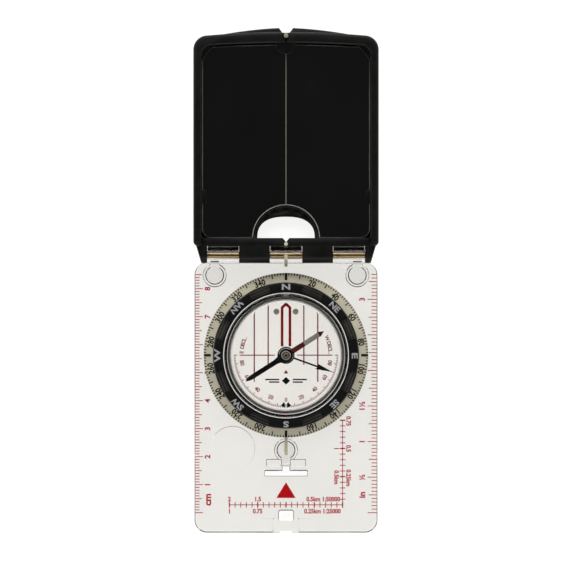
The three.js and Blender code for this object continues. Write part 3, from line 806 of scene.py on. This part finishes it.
def make_degree_ring():
    profile = filleted([(24.7, 3.9), (29.2, 3.9), (RING_RADIUS, 4.1), (RING_RADIUS, RING_EDGE_Z),
                        (RING_INNER, RING_INNER_Z), (24.7, RING_INNER_Z)], 0.12)
    dress(lathe("luminous_degree_ring", profile), LUMINOUS, "bezel", ["degree_ring"])
    marks = Print("print_degrees", on_degree_ring)
    edge = RING_RADIUS - 0.12
    for azimuth in range(0, 360, 2):
        if azimuth % 90 == 0:
            marks.spoke(azimuth, 26.8, edge, 0.95)
            continue
        if azimuth % 20 == 0:
            length = 1.25
        elif azimuth % 10 == 0:
            length = 1.7
        else:
            length = 0.75
        marks.spoke(azimuth, edge - length, edge, 0.4)
    for azimuth in range(20, 360, 20):
        if azimuth % 90:
            marks.ring_text(str(azimuth), azimuth, 27.3, 2.1, stretch=0.88, weight=0.04, spacing=1.06)
    marks.made(BLACK_INK, "bezel")


RECESSES = 8
RECESS_WIDTH = 7.6
RECESS_INNER = 23.1
RECESS_FLOOR = 8.5


def ribbed_slope():
    """The (radius, z) outline of a finger recess: a slope down to the rim, with ridges across it."""
    top, outer = GRIP_TOP + 0.25, GRIP_RADIUS + 0.2
    floor, start = RECESS_FLOOR - 0.1, GRIP_TOP - 0.1
    ridges = 3
    far, high = outer + 1.5, top + 0.5
    points = [(far, floor), (far, high), (RECESS_INNER, high), (RECESS_INNER, start)]
    run, fall = (outer - RECESS_INNER) / ridges, (GRIP_TOP - RECESS_FLOOR) / ridges
    for i in range(ridges):
        r, z = RECESS_INNER + run * i, start - fall * i
        points.append((r + run * 0.3, z - fall * 0.95))
        points.append((r + run * 0.75, z - fall * 0.7))
    points.append((outer, floor))
    return points


def recess_cutter(azimuth):
    cutter = slab("recess", ribbed_slope(), -RECESS_WIDTH / 2, RECESS_WIDTH / 2)
    stand = Matrix.Rotation(math.radians(90), 4, "X")
    turn = Matrix.Rotation(math.radians(azimuth), 4, "Z")
    cutter.data.transform(Matrix.Translation((0, DIAL_Y * MM, 0)) @ turn @ stand)
    return cutter


LETTER_SLOPE_START = 25.6


def on_grip_ring(x, y):
    r = math.hypot(x, y - DIAL_Y)
    return GRIP_TOP - max(0.0, r - LETTER_SLOPE_START) * 1.1


def texture_recesses(ring):
    """The upward-sloping faces in the finger recesses get a lighter colour, a painted sheen for the light
    that the ridges catch. Only their grain bump is real texture.
    """
    ring.data.materials.append(GRIP_PAINTED_SHEEN)
    for face in ring.data.polygons:
        from_dial = math.hypot(face.center.x, face.center.y - DIAL_Y * MM) / MM
        height = face.center.z / MM
        in_recess = from_dial > RECESS_INNER + 0.05 and RECESS_FLOOR - 0.2 < height < GRIP_TOP - 0.05
        if in_recess and 0.3 < face.normal.z < 0.999:
            face.material_index = 1


def make_grip_ring():
    profile = [(22.2, 1.7), (24.6, 1.7), (24.6, 6.7), (GRIP_RADIUS, 6.7), (GRIP_RADIUS, GRIP_TOP - 0.45),
               (LETTER_SLOPE_START, GRIP_TOP), (22.4, GRIP_TOP), (22.4, 5.8), (21.2, 5.8), (21.2, 4.4),
               (22.2, 4.4)]
    ring = lathe("black_grip_ring", filleted(profile, 0.15), sides=240)
    low, high = mm_box("declination_screw")
    screw_x, screw_y = (low.x + high.x) / 2, (low.y + high.y) / 2
    screw_room = [slab("screw_bore", circle(screw_x, screw_y, 0.78, 32), 1.0, 7.0),
                  slab("pinion_room", circle(screw_x, screw_y, 1.9, 48), 6.7, 9.0)]
    between = 360 / RECESSES
    cut(ring, [recess_cutter(between * (i + 0.5)) for i in range(RECESSES)] + screw_room)
    smooth(ring, 30)
    dress(ring, BLACK_GRIP, "bezel", ["grip_ring"])
    texture_recesses(ring)
    letters = Print("print_cardinals", on_grip_ring)
    for i, words in enumerate(("N", "NE", "E", "SE", "S", "SW", "W", "NW")):
        stretch = 1.5 if len(words) == 1 else 1.15
        letters.ring_text(words, 45 * i, 24.5, 2.1, stretch=stretch, weight=0.03)
    letters.made(LETTER_INK, "bezel")


def print_scale_disc(top):
    """North lines, a cross line, and a declination scale each way from south."""
    marks = Print("print_declination", lambda x, y: top)
    for x, rear, front in ((6.35, 18.0, -3.4), (11.3, 15.4, -9.45)):
        for side in (-1, 1):
            marks.line(side * x, DIAL_Y + front, side * x, DIAL_Y + rear, 0.46)
    for side in (-1, 1):
        marks.line(side * 4.0, DIAL_Y, side * 16.5, DIAL_Y, 0.38)
    for step in range(-45, 46):
        marks.spoke(180 + 2 * step, 17.95 if step % 5 else 17.4, 18.75, 0.3)
    for degrees in range(0, 81, 20):
        for side in ((1,) if degrees == 0 else (-1, 1)):
            azimuth = 180 + side * degrees
            marks.ring_text(str(degrees), azimuth, 15.8, 1.45, inward=True, stretch=0.95, weight=0.03)
    between_letters = 3.4
    for words, azimuth in (("E DECL.", 285.5), ("W DECL.", 79.5)):
        for k, letter in enumerate(words):
            if letter != " ":
                here = azimuth + (k - len(words) / 2) * between_letters
                marks.ring_text(letter, here, 15.9, 1.35, weight=0.03)
    marks.made(FADED_INK, "bezel")


def make_scale_disc():
    low, high = mm_box("scale_disc")
    profile = filleted([(0, low.z), (high.x, low.z), (high.x, high.z), (0, high.z)], 0.08)
    profile = [(0, low.z)] + [p for p in profile if p[0] > 1] + [(0, high.z)]
    disc = lathe("clear_scale_disc", profile)
    dress(disc, WET_FILM, "bezel", ["scale_disc"])
    print_scale_disc(high.z)


# ---- capsule

CAPSULE_FLOOR_TOP = 4.0
DOME_WALL_OUTER, DOME_WALL_BOTTOM = 20.8, 4.42
DOME_RADIUS, DOME_LEDGE_Z = 22.1, 9.4
GEAR_TOP = 9.0


def make_dome():
    """A shallow dome on a round wall, which stands on the seal and has a ledge over the gear."""
    roof_radius, roof_z, crown_radius, crown_z, steps = 19.2, 10.3, 21.6, 11.85, 24
    shares = [i / steps for i in range(steps + 1)]
    roof = [(roof_radius * t, roof_z - 0.2 * t ** 2) for t in shares]
    crown = [(crown_radius * (1 - t), crown_z - 0.45 * (1 - t) ** 2) for t in shares]
    wall = [(19.6, 9.95), (19.75, 9.6), (19.75, DOME_WALL_BOTTOM), (DOME_WALL_OUTER, DOME_WALL_BOTTOM),
            (DOME_WALL_OUTER, DOME_LEDGE_Z), (DOME_RADIUS, DOME_LEDGE_Z), (DOME_RADIUS, 10.95),
            (21.95, 11.2), (21.7, 11.37)]
    dome = lathe("clear_capsule_dome", roof + wall + crown)
    dress(dome, DOME_ACRYLIC, "capsule", ["capsule_dome"])
    # A white ring round the dome's edge: painted highlight for the bright edge of the crystal.
    rim = filleted([(DOME_RADIUS, 10.4), (22.37, 10.4), (22.37, 11.1), (DOME_RADIUS, 11.2)], 0.06)
    dress(lathe("dome_rim_painted_highlight", rim), RIM_PAINTED_HIGHLIGHT, "capsule")


def make_capsule_floor():
    """A clear floor with the boss that the pivot stands in, and the seal between it and the dome."""
    top, boss_top = CAPSULE_FLOOR_TOP, 5.9
    profile = [(0, 3.0), (21.85, 3.0), (21.9, 3.05), (21.9, top - 0.05), (21.85, top), (2.48, top),
               (2.48, boss_top - 0.05), (2.4, boss_top), (0.65, boss_top), (0.65, 4.3), (0, 4.3)]
    floor = lathe("clear_capsule_floor", profile)
    dress(floor, WET_FILM, "capsule", ["capsule_floor"])
    seal_bottom, seal_top = top + 0.02, DOME_WALL_BOTTOM - 0.02
    seal = filleted([(19.8, seal_bottom), (20.75, seal_bottom), (20.75, seal_top), (19.8, seal_top)], 0.12)
    # The seal's light grey is partly its own colour and partly a painted reflection of the capsule wall.
    dress(lathe("capsule_seal_painted_reflection", seal), SEAL_GREY_AND_REFLECTION, "capsule", ["capsule_seal"])


def make_gear_ring():
    """The toothed ring round the capsule, with one tooth that points at the screw."""
    low, high = mm_box("declination_gear_ring")
    teeth, root, tip, bore = 120, 21.45, 21.85, 20.9
    outline = []
    for i in range(teeth):
        for turn, radius in ((-0.3, root), (-0.13, tip), (0.13, tip), (0.3, root)):
            a = math.radians(SCREW_ANGLE) + 2 * math.pi * (i + turn) / teeth
            outline.append((radius * math.cos(a), DIAL_Y + radius * math.sin(a)))
    gear = slab("black_gear_ring", outline, low.z, high.z)
    cut(gear, [slab("bore", circle(0, DIAL_Y, bore, ROUND_SIDES), low.z - PAST, high.z + PAST)])
    dress(gear, BLACK_SOFT, "capsule", ["declination_gear_ring"])


def make_bead(node, body, crown, sides):
    """A luminous bead for a CAD node. crown holds (share of the radius, depth below the top)."""
    low, high = mm_box(node)
    radius = (high.x - low.x) / 2
    upper = [(radius * share, high.z - depth) for share, depth in crown]
    profile = [(0, low.z), (radius, low.z), *upper, (0, high.z)]
    bead = lathe("luminous_" + node, profile, (low.x + high.x) / 2, (low.y + high.y) / 2, sides)
    dress(bead, LUMINOUS, body, [node])


def make_capsule():
    make_dome()
    make_capsule_floor()
    make_gear_ring()
    dress_node("capsule_index", LUMINOUS_BAR)
    for node in ("dot_left", "dot_right"):
        make_bead(node, "capsule", ((1.0, 0.12), (0.9, 0.03)), 48)


def on_capsule_floor(x, y):
    return CAPSULE_FLOOR_TOP


def make_orienting_marks():
    red = Print("print_orienting_arrow", on_capsule_floor)
    half, stroke, apex, shoulder, foot = 1.87, 0.95, 19.0, 17.1, 3.15
    inner = half - stroke
    right = [(half, foot), (half, shoulder), (0, apex), (0, apex - 1.45),
             (inner, shoulder - 0.35), (inner, foot)]
    red.pair(right)
    red.shape([(-0.8, DIAL_Y - 6.5), (0.8, DIAL_Y - 6.5), (0, DIAL_Y - 5.2)])
    red.made(RED_INK, "capsule")
    black = Print("print_plain_mark", on_capsule_floor)
    black.pair([(0.3, -17.5), (0.4, -18.8), (1.83, -17.9), (0.7, -16.6)])
    mark_y = DIAL_Y - 9.1
    black.shape([(-1.5, mark_y), (0, mark_y - 1.35), (1.5, mark_y), (0, mark_y + 1.35)])
    for side in (-1, 1):
        for k, length in enumerate((5.0, 3.6)):
            y = mark_y + (0.45 if k == 0 else -0.45)
            black.line(side * 2.4, y, side * (2.4 + length), y, 0.5)
    black.made(BLACK_INK, "capsule")
    dot = Print("print_gear_dot", lambda x, y: GEAR_TOP)
    dot.shape(circle(0, DIAL_Y - 21.4, 0.32, 20))
    dot.made(RED_INK, "capsule")


# ---- needle and clinometer

def blade(name, outline, z0, z1, angle, ease=0.06):
    piece = slab(name, turned_points(outline, angle, 0, DIAL_Y), z0, z1)
    return eased(piece, ease, 2, 30)


def both_edges(points):
    """An outline given by its upper edge, closed by the mirror image of that edge."""
    return points + [(x, -y) for x, y in reversed(points) if y > 0]


HUB_HOLE, HUB_RADIUS = 1.6, 2.5
STRIP_INNER, STRIP_OUTER = 7.7, 13.8


def make_needle_south():
    """The black half of the needle, one piece with the hub."""
    low, high = mm_box("needle_south")
    hub_profile = [(HUB_HOLE, low.z), (HUB_RADIUS, low.z), (HUB_RADIUS, high.z), (HUB_HOLE, high.z)]
    hub = lathe("hub", filleted(hub_profile, 0.06), sides=64)
    edge = [(-17.1, 0), (-16.3, 0.45), (-15.0, 0.82), (-12, 0.85), (-4.5, 0.88), (-3.2, 1.1), (-2.3, 1.5),
            (-1.75, 1.75)]
    outline = turned_points(both_edges(edge), NEEDLE_ANGLE, 0, DIAL_Y)
    half = slab("black_needle_half", outline, low.z, high.z)
    cut(half, [slab("hole", circle(0, DIAL_Y, HUB_HOLE, 64), low.z - PAST, high.z + PAST)])
    add(half, [hub])
    eased(half, 0.06, 2, 40)
    dress(half, BLACK_COAT, "needle", ["needle_south"])


def make_needle_north():
    """The red half, with its luminous strip."""
    low, high = mm_box("needle_north")
    outline = both_edges([(16, 0), (13.9, 1.04), (13.9, 0.86), (7, 0.86), (2.2, 0.95)])
    half = blade("red_needle_half", outline, low.z, high.z, NEEDLE_ANGLE)
    dress(half, RED_COAT, "needle", ["needle_north"])
    low, high = mm_box("needle_lume")
    strip_outline = rectangle(STRIP_INNER, STRIP_OUTER, -0.8, 0.8, 0.08, 4)
    strip = blade("luminous_needle_strip", strip_outline, low.z, high.z, NEEDLE_ANGLE, 0.05)
    dress(strip, NEEDLE_LUME, "needle", ["needle_lume"])


def make_needle():
    make_needle_south()
    make_needle_north()
    dress_node("needle_magnet", STEEL)
    cup = filleted([(0.75, 7.0), (1.5, 7.0), (1.5, 8.4), (1.3, 8.6), (0.75, 8.6)], 0.1)
    dress(lathe("brass_jewel_cup", cup, sides=64), BRASS_DARK, "needle", ["jewel_cup"])
    stone = [(0, 7.9), (0.6, 7.9), (0.7, 8.0), (0.7, 8.35), (0.5, 8.47), (0, 8.5)]
    dress(lathe("cup_jewel", stone, sides=48), JEWEL, "needle", ["jewel"])
    dress_node("pivot_post", STEEL)


def make_clinometer():
    """A hoop round the needle's hub with a thin arm and an arrowhead."""
    low, high = mm_box("clinometer_pointer")
    middle, arm_half = (low.z + high.z) / 2, 0.3
    inner, outer = 2.56, 3.06
    edge = [(17.8, 0), (16.3, 0.22), (14.4, 0.58), (11.4, 1.07), (11.9, 0.3), (2.7, 0.3)]
    outline = turned_points(both_edges(edge), CLINOMETER_ANGLE, 0, DIAL_Y)
    arm = slab("arm", outline, middle - arm_half, middle + arm_half)
    hoop = filleted([(inner, low.z), (outer, low.z), (outer, high.z), (inner, high.z)], 0.1)
    pointer = lathe("black_clinometer", hoop, sides=96)
    add(pointer, [arm])
    cut(pointer, [slab("hole", circle(0, DIAL_Y, inner - 0.01, 96), low.z - PAST, high.z + PAST)])
    eased(pointer, 0.05, 2, 50)
    dress(pointer, BLACK_COAT, "clinometer", ["clinometer_pointer"])


# ---- lid

LID_HALF = lid_high.x
LID_NEAR = 12.4
BAR_REAR, BAR_TOP = 15.2, 12.0
FLOOR_TOP = 2.2
TRAY_HALF, TRAY_FAR = 30.2, 84.9
RIM_FAR = 88.3
LIP_TOP = 8.0
BARREL_RADIUS = 2.9
BARRELS = [(-16.7, -5.75), (5.75, 16.7)]
EAR_X = 28.1


def arched(half, near, far, drop, far_corner, near_corner, steps=14):
    """A plan with straight sides, rounded corners and a far edge that bows out by drop."""
    shoulder = far - drop
    points = arc(half - near_corner, near + near_corner, near_corner, -90, 0, steps)
    points += arc(half - far_corner, shoulder - far_corner, far_corner, 0, 84, steps)
    reach = half - far_corner
    for i in range(1, 24):
        x = reach * (1 - i / 12)
        points.append((x, shoulder + drop * (1 - (x / reach) ** 2)))
    points += arc(-half + far_corner, shoulder - far_corner, far_corner, 96, 180, steps)
    points += arc(-half + near_corner, near + near_corner, near_corner, 180, 270, steps)
    return points


def lip_plan():
    """The thumb lip along the far edge, thickest in the middle."""
    reach, near, far, steps = 29.0, 84.0, 86.6, 40
    bulge = lid_high.y - far
    bow = []
    for i in range(steps + 1):
        across = 1 - 2 * i / steps
        bow.append((reach * across, far + bulge * (1 - abs(across) ** 1.7)))
    return [(-reach, near), (reach, near)] + bow


def window_outline():
    """The sighting window, a squared half ellipse, with a V notch in its straight side."""
    half, near, far, fullness, steps = 10.25, 15.3, 22.9, 0.8, 48
    notch_half, notch_tip = 1.25, 13.8
    points = [(-notch_half, near), (0, notch_tip), (notch_half, near)]
    for i in range(steps + 1):
        a = math.pi * i / steps
        c, s = math.cos(a), max(0.0, math.sin(a))
        points.append((half * math.copysign(abs(c) ** fullness, c), near + (far - near) * s ** fullness))
    return points


def barrel_side(far):
    """The (y, z) outline of the lid's barrels, round about the hinge and level out to far."""
    low, high = HINGE_Z - BARREL_RADIUS, HINGE_Z + BARREL_RADIUS
    return arc(HINGE_Y, HINGE_Z, BARREL_RADIUS, 90, 270, 40) + [(far, low), (far, high)]


def lid_ear(side):
    """The tapering end of the barrel on one side, outside the last knuckle."""
    plan = [(EAR_X, 6.3), (30.1, 6.3), (31.6, 11.5), (32.4, 13.7), (EAR_X, 13.7)]
    ear = slab("ear", plan if side > 0 else flipped(plan), HINGE_Z - BARREL_RADIUS, HINGE_Z + BARREL_RADIUS)
    x0, x1 = sorted((side * (EAR_X - 0.5), side * 34))
    return combined(ear, [bar_along_x("rounding", barrel_side(15), x0, x1)], "INTERSECT")


def lid_barrel(x0, x1):
    return bar_along_x("barrel", barrel_side(LID_NEAR + 0.5), x0, x1)


def lid_tongue(x0, x1):
    """The lid's wall where it reaches in under a knuckle, behind the knuckle's leg."""
    front, low, gap = LEG_BACK + 0.25, 0.5, 0.15
    hollow = arc(HINGE_Y, HINGE_Z, KNUCKLE_RADIUS + gap, -2, -92, 24)
    side = [(front, low), (LID_NEAR + 0.5, low), (LID_NEAR + 0.5, hollow[0][1])] + hollow
    return bar_along_x("tongue", side, x0 + 0.1, x1 - 0.1)


CLIP_TOP, TAB_TOP = 7.0, 6.2


def mirror_clips():
    """Side tabs, corner gussets and the centre tab that hold the mirror down."""
    low = MIRROR_TOP + 0.06
    gusset = [(24.6, 85.6), (24.9, 84.0), (26.8, 82.8), (28.4, 81.0), (29.6, 78.9), (30.0, 78.0),
              (30.7, 77.9), (30.7, 85.2)]
    tab = rectangle(28.55, 30.6, 27.6, 32.4, 0.2)
    made = []
    for points in (gusset, flipped(gusset)):
        made.append(slab("gusset", points, low, CLIP_TOP))
    for points in (tab, flipped(tab)):
        made.append(slab("tab", points, low, TAB_TOP))
    reach, back = 3.3, 85.6
    centre = arc(0, 84.3, reach, 180, 360, 24) + [(reach, back), (-reach, back)]
    made.append(slab("centre_tab", centre, low, CLIP_TOP))
    return made


def ribbed_surround():
    """The raised edge round the sighting window, with short grooves in its top."""
    centre_y, radius = BAR_REAR, 11.55
    plan = arc(0, centre_y - 0.1, radius, 0, 180, 64) + [(-radius, centre_y - 0.4), (radius, centre_y - 0.4)]
    body = slab("surround", plan, FLOOR_TOP - 0.2, MIRROR_TOP)
    groove_inner, groove_outer, groove_depth = 9.4, 10.9, 0.8
    grooves = []
    for angle in (46, 66, 90, 114, 134):
        half = 5.5 if angle == 90 else 6.5
        span = (arc(0, centre_y, groove_outer, angle - half, angle + half, 8)
                + arc(0, centre_y, groove_inner, angle + half, angle - half, 8))
        grooves.append(slab("groove", span, MIRROR_TOP - groove_depth, MIRROR_TOP + PAST))
    return cut(body, grooves)


def sighting_notches():
    """The V notch through the thumb lip and the one in the lid's rim behind it."""
    lip_notch = [(-2.75, 90.4), (-1.3, 88.35), (1.3, 88.35), (2.75, 90.4)]
    rim_notch = [(0, 84.6), (1.3, 86.4), (1.3, 88.6), (-1.3, 88.6), (-1.3, 86.4)]
    top = RIM_Z + PAST
    return [slab("lip_notch", lip_notch, -PAST, top), slab("rim_notch", rim_notch, LIP_TOP, top)]


def make_lid():
    shell = slab("black_lid_shell", arched(LID_HALF, LID_NEAR, RIM_FAR, 1.2, 5.0, 1.6), 0, RIM_Z)
    eased(shell, 0.9, 4, 40)
    lip = eased(slab("lip", lip_plan(), 0, LIP_TOP), 0.6, 3, 40)
    add(shell, [lip])
    near_bar = rectangle(-TRAY_HALF, TRAY_HALF, LID_NEAR - PAST, BAR_REAR + 0.1)
    tray = arched(TRAY_HALF, BAR_REAR, TRAY_FAR, 0.8, 4.0, 1.5)
    cut(shell, [
        slab("tray", tray, FLOOR_TOP, RIM_Z + PAST),
        slab("above_bar", near_bar, BAR_TOP, RIM_Z + PAST),
    ])
    barrels = [lid_barrel(x0, x1) for x0, x1 in BARRELS]
    tongues = [lid_tongue(x0, x1) for x0, x1 in KNUCKLES]
    add(shell, [ribbed_surround(), *mirror_clips(), *barrels, *tongues, lid_ear(1), lid_ear(-1)])
    dimple_depth = 0.25
    dimples = [slab("dimple", circle(x, 14.3, 0.75, 40), RIM_Z - dimple_depth, RIM_Z + PAST)
               for x in (-31.3, 31.3)]
    cut(shell, [
        slab("window", window_outline(), -PAST, RIM_Z + PAST),
        *dimples,
        bar_along_x("bore", circle(HINGE_Y, HINGE_Z, PIN_RADIUS + 0.07, 64), -31, 31),
        *sighting_notches(),
    ])
    eased(shell, 0.14, 2, 45)
    dress(shell, BLACK_ABS, "lid", ["lid_shell"])


def make_mirror():
    """Silvered glass with an arch cut out for the window, pale upward-sloping bevels and a printed sighting
    line.
    """
    plan = arched(mirror_high.x, mirror_low.y, mirror_high.y, 0.8, 4.5, 3.3)
    glass = slab("lid_mirror_glass", plan, mirror_low.z, mirror_high.z)
    cut(glass, [slab("arch", circle(0, BAR_REAR, 11.8, 128), mirror_low.z - PAST, mirror_high.z + PAST)])
    eased(glass, 0.3, 1, 40, 20)
    dress(glass, MIRROR, "lid", ["mirror"])
    # The upward-sloping bevels get a pale colour.
    glass.data.materials.append(PALE_BEVEL_COLOUR)
    for face in glass.data.polygons:
        if 0.3 < face.normal.z < 0.95:
            face.material_index = 1
    line = Print("mirror_sight_line", lambda x, y: MIRROR_TOP)
    line.line(0, 27.1, 0, 81.1, 0.34)
    line.made(SIGHT_INK, "lid")
    dress_node("mirror_tape", TAPE)
    for node in ("lid_dot_near", "lid_dot_far"):
        make_bead(node, "lid", ((0.96, 0.06), (0.7, 0.01)), 40)


# ---- stage, light and camera

VIEW_CENTRE = Vector((-0.36, -1.48, 0)) * MM
CAMERA_HEIGHT = 1.5
VIEW_WIDTH = 0.2036  # across the picture, at the plate's top
SENSOR_WIDTH = 36.0


def make_stage():
    """A pale floor that glows a little, like a light table, so that the clear plate stays clear."""
    bm = bmesh.new()
    bmesh.ops.create_grid(bm, x_segments=8, y_segments=8, size=3000)
    floor = object_from(bm, "pale_floor")
    floor.location.z = -0.02 * MM
    glow = {"Emission_Color": (1.0, 0.995, 0.985, 1.0), "Emission_Strength": 0.86}
    paper = Surface("pale_floor", roughness=0.9, **glow)
    paper.mottled((0.29, 0.29, 0.29, 1.0), (0.3, 0.3, 0.3, 1.0), 3)
    floor.data.materials.append(paper.material)


def make_world():
    """Even soft light from the sides and a dark patch straight overhead, for the mirror to show."""
    world = bpy.data.worlds.new("soft_studio")
    bpy.context.scene.world = world
    world.use_nodes = True
    nodes, links = world.node_tree.nodes, world.node_tree.links
    background = nodes["Background"]
    place = nodes.new("ShaderNodeTexCoord").outputs["Generated"]
    split = nodes.new("ShaderNodeSeparateXYZ")
    links.new(place, split.inputs["Vector"])
    ramp = nodes.new("ShaderNodeValToRGB")
    ramp.color_ramp.interpolation = "EASE"
    stops = ((0.0, 0.1), (0.12, 0.16), (0.36, 1.0), (0.7, 1.0), (0.87, 0.012), (1.0, 0.006))
    while len(ramp.color_ramp.elements) < len(stops):
        ramp.color_ramp.elements.new(0.5)
    for element, (position, value) in zip(ramp.color_ramp.elements, stops):
        element.position = position
        element.color = (value, value, value, 1.0)
    links.new(split.outputs["Z"], ramp.inputs["Fac"])
    links.new(ramp.outputs["Color"], background.inputs["Color"])
    background.inputs["Strength"].default_value = 1.25


def add_softbox(name, location, size, power):
    light = bpy.data.lights.new(name, "AREA")
    light.shape = "RECTANGLE"
    light.size, light.size_y = size
    light.energy = power
    lamp = bpy.data.objects.new(name, light)
    lamp.location = location
    lamp.rotation_euler = (-Vector(location)).to_track_quat("-Z", "Y").to_euler()
    bpy.context.scene.collection.objects.link(lamp)


def make_camera():
    lens_data = bpy.data.cameras.new("camera")
    lens_data.sensor_width = SENSOR_WIDTH
    lens_data.lens = SENSOR_WIDTH * (CAMERA_HEIGHT - PLATE_TOP * MM) / VIEW_WIDTH
    lens_data.clip_start, lens_data.clip_end = 0.05, 20
    camera = bpy.data.objects.new("camera", lens_data)
    camera.location = VIEW_CENTRE + Vector((0, 0, CAMERA_HEIGHT))
    camera.rotation_euler = Euler((0, 0, 0))
    bpy.context.scene.collection.objects.link(camera)
    bpy.context.scene.camera = camera


def make_light():
    """The lights, and enough bounces for light to get through the stacked clear parts."""
    scene = bpy.context.scene
    scene.view_settings.view_transform = "Standard"
    scene.cycles.max_bounces = 24
    scene.cycles.transmission_bounces = 20
    scene.cycles.transparent_max_bounces = 24
    make_world()
    add_softbox("softbox_rear", (-0.1, 0.95, 1.0), (1.6, 0.8), 9.0)


make_baseplate()
make_feet()
make_hinge_pin()
dress_node("index_bar_rear", LUMINOUS_BAR)
dress_node("index_bar_front", LUMINOUS_BAR)
make_rulers()
make_map_scales()
make_travel_mark()
make_degree_ring()
make_grip_ring()
dress_node("retaining_ring", BLACK_GRIP)
make_scale_disc()
make_capsule()
make_orienting_marks()
make_needle()
make_clinometer()
dress_node("declination_screw", BRASS)
make_lid()
make_mirror()
make_stage()
make_light()
make_camera()
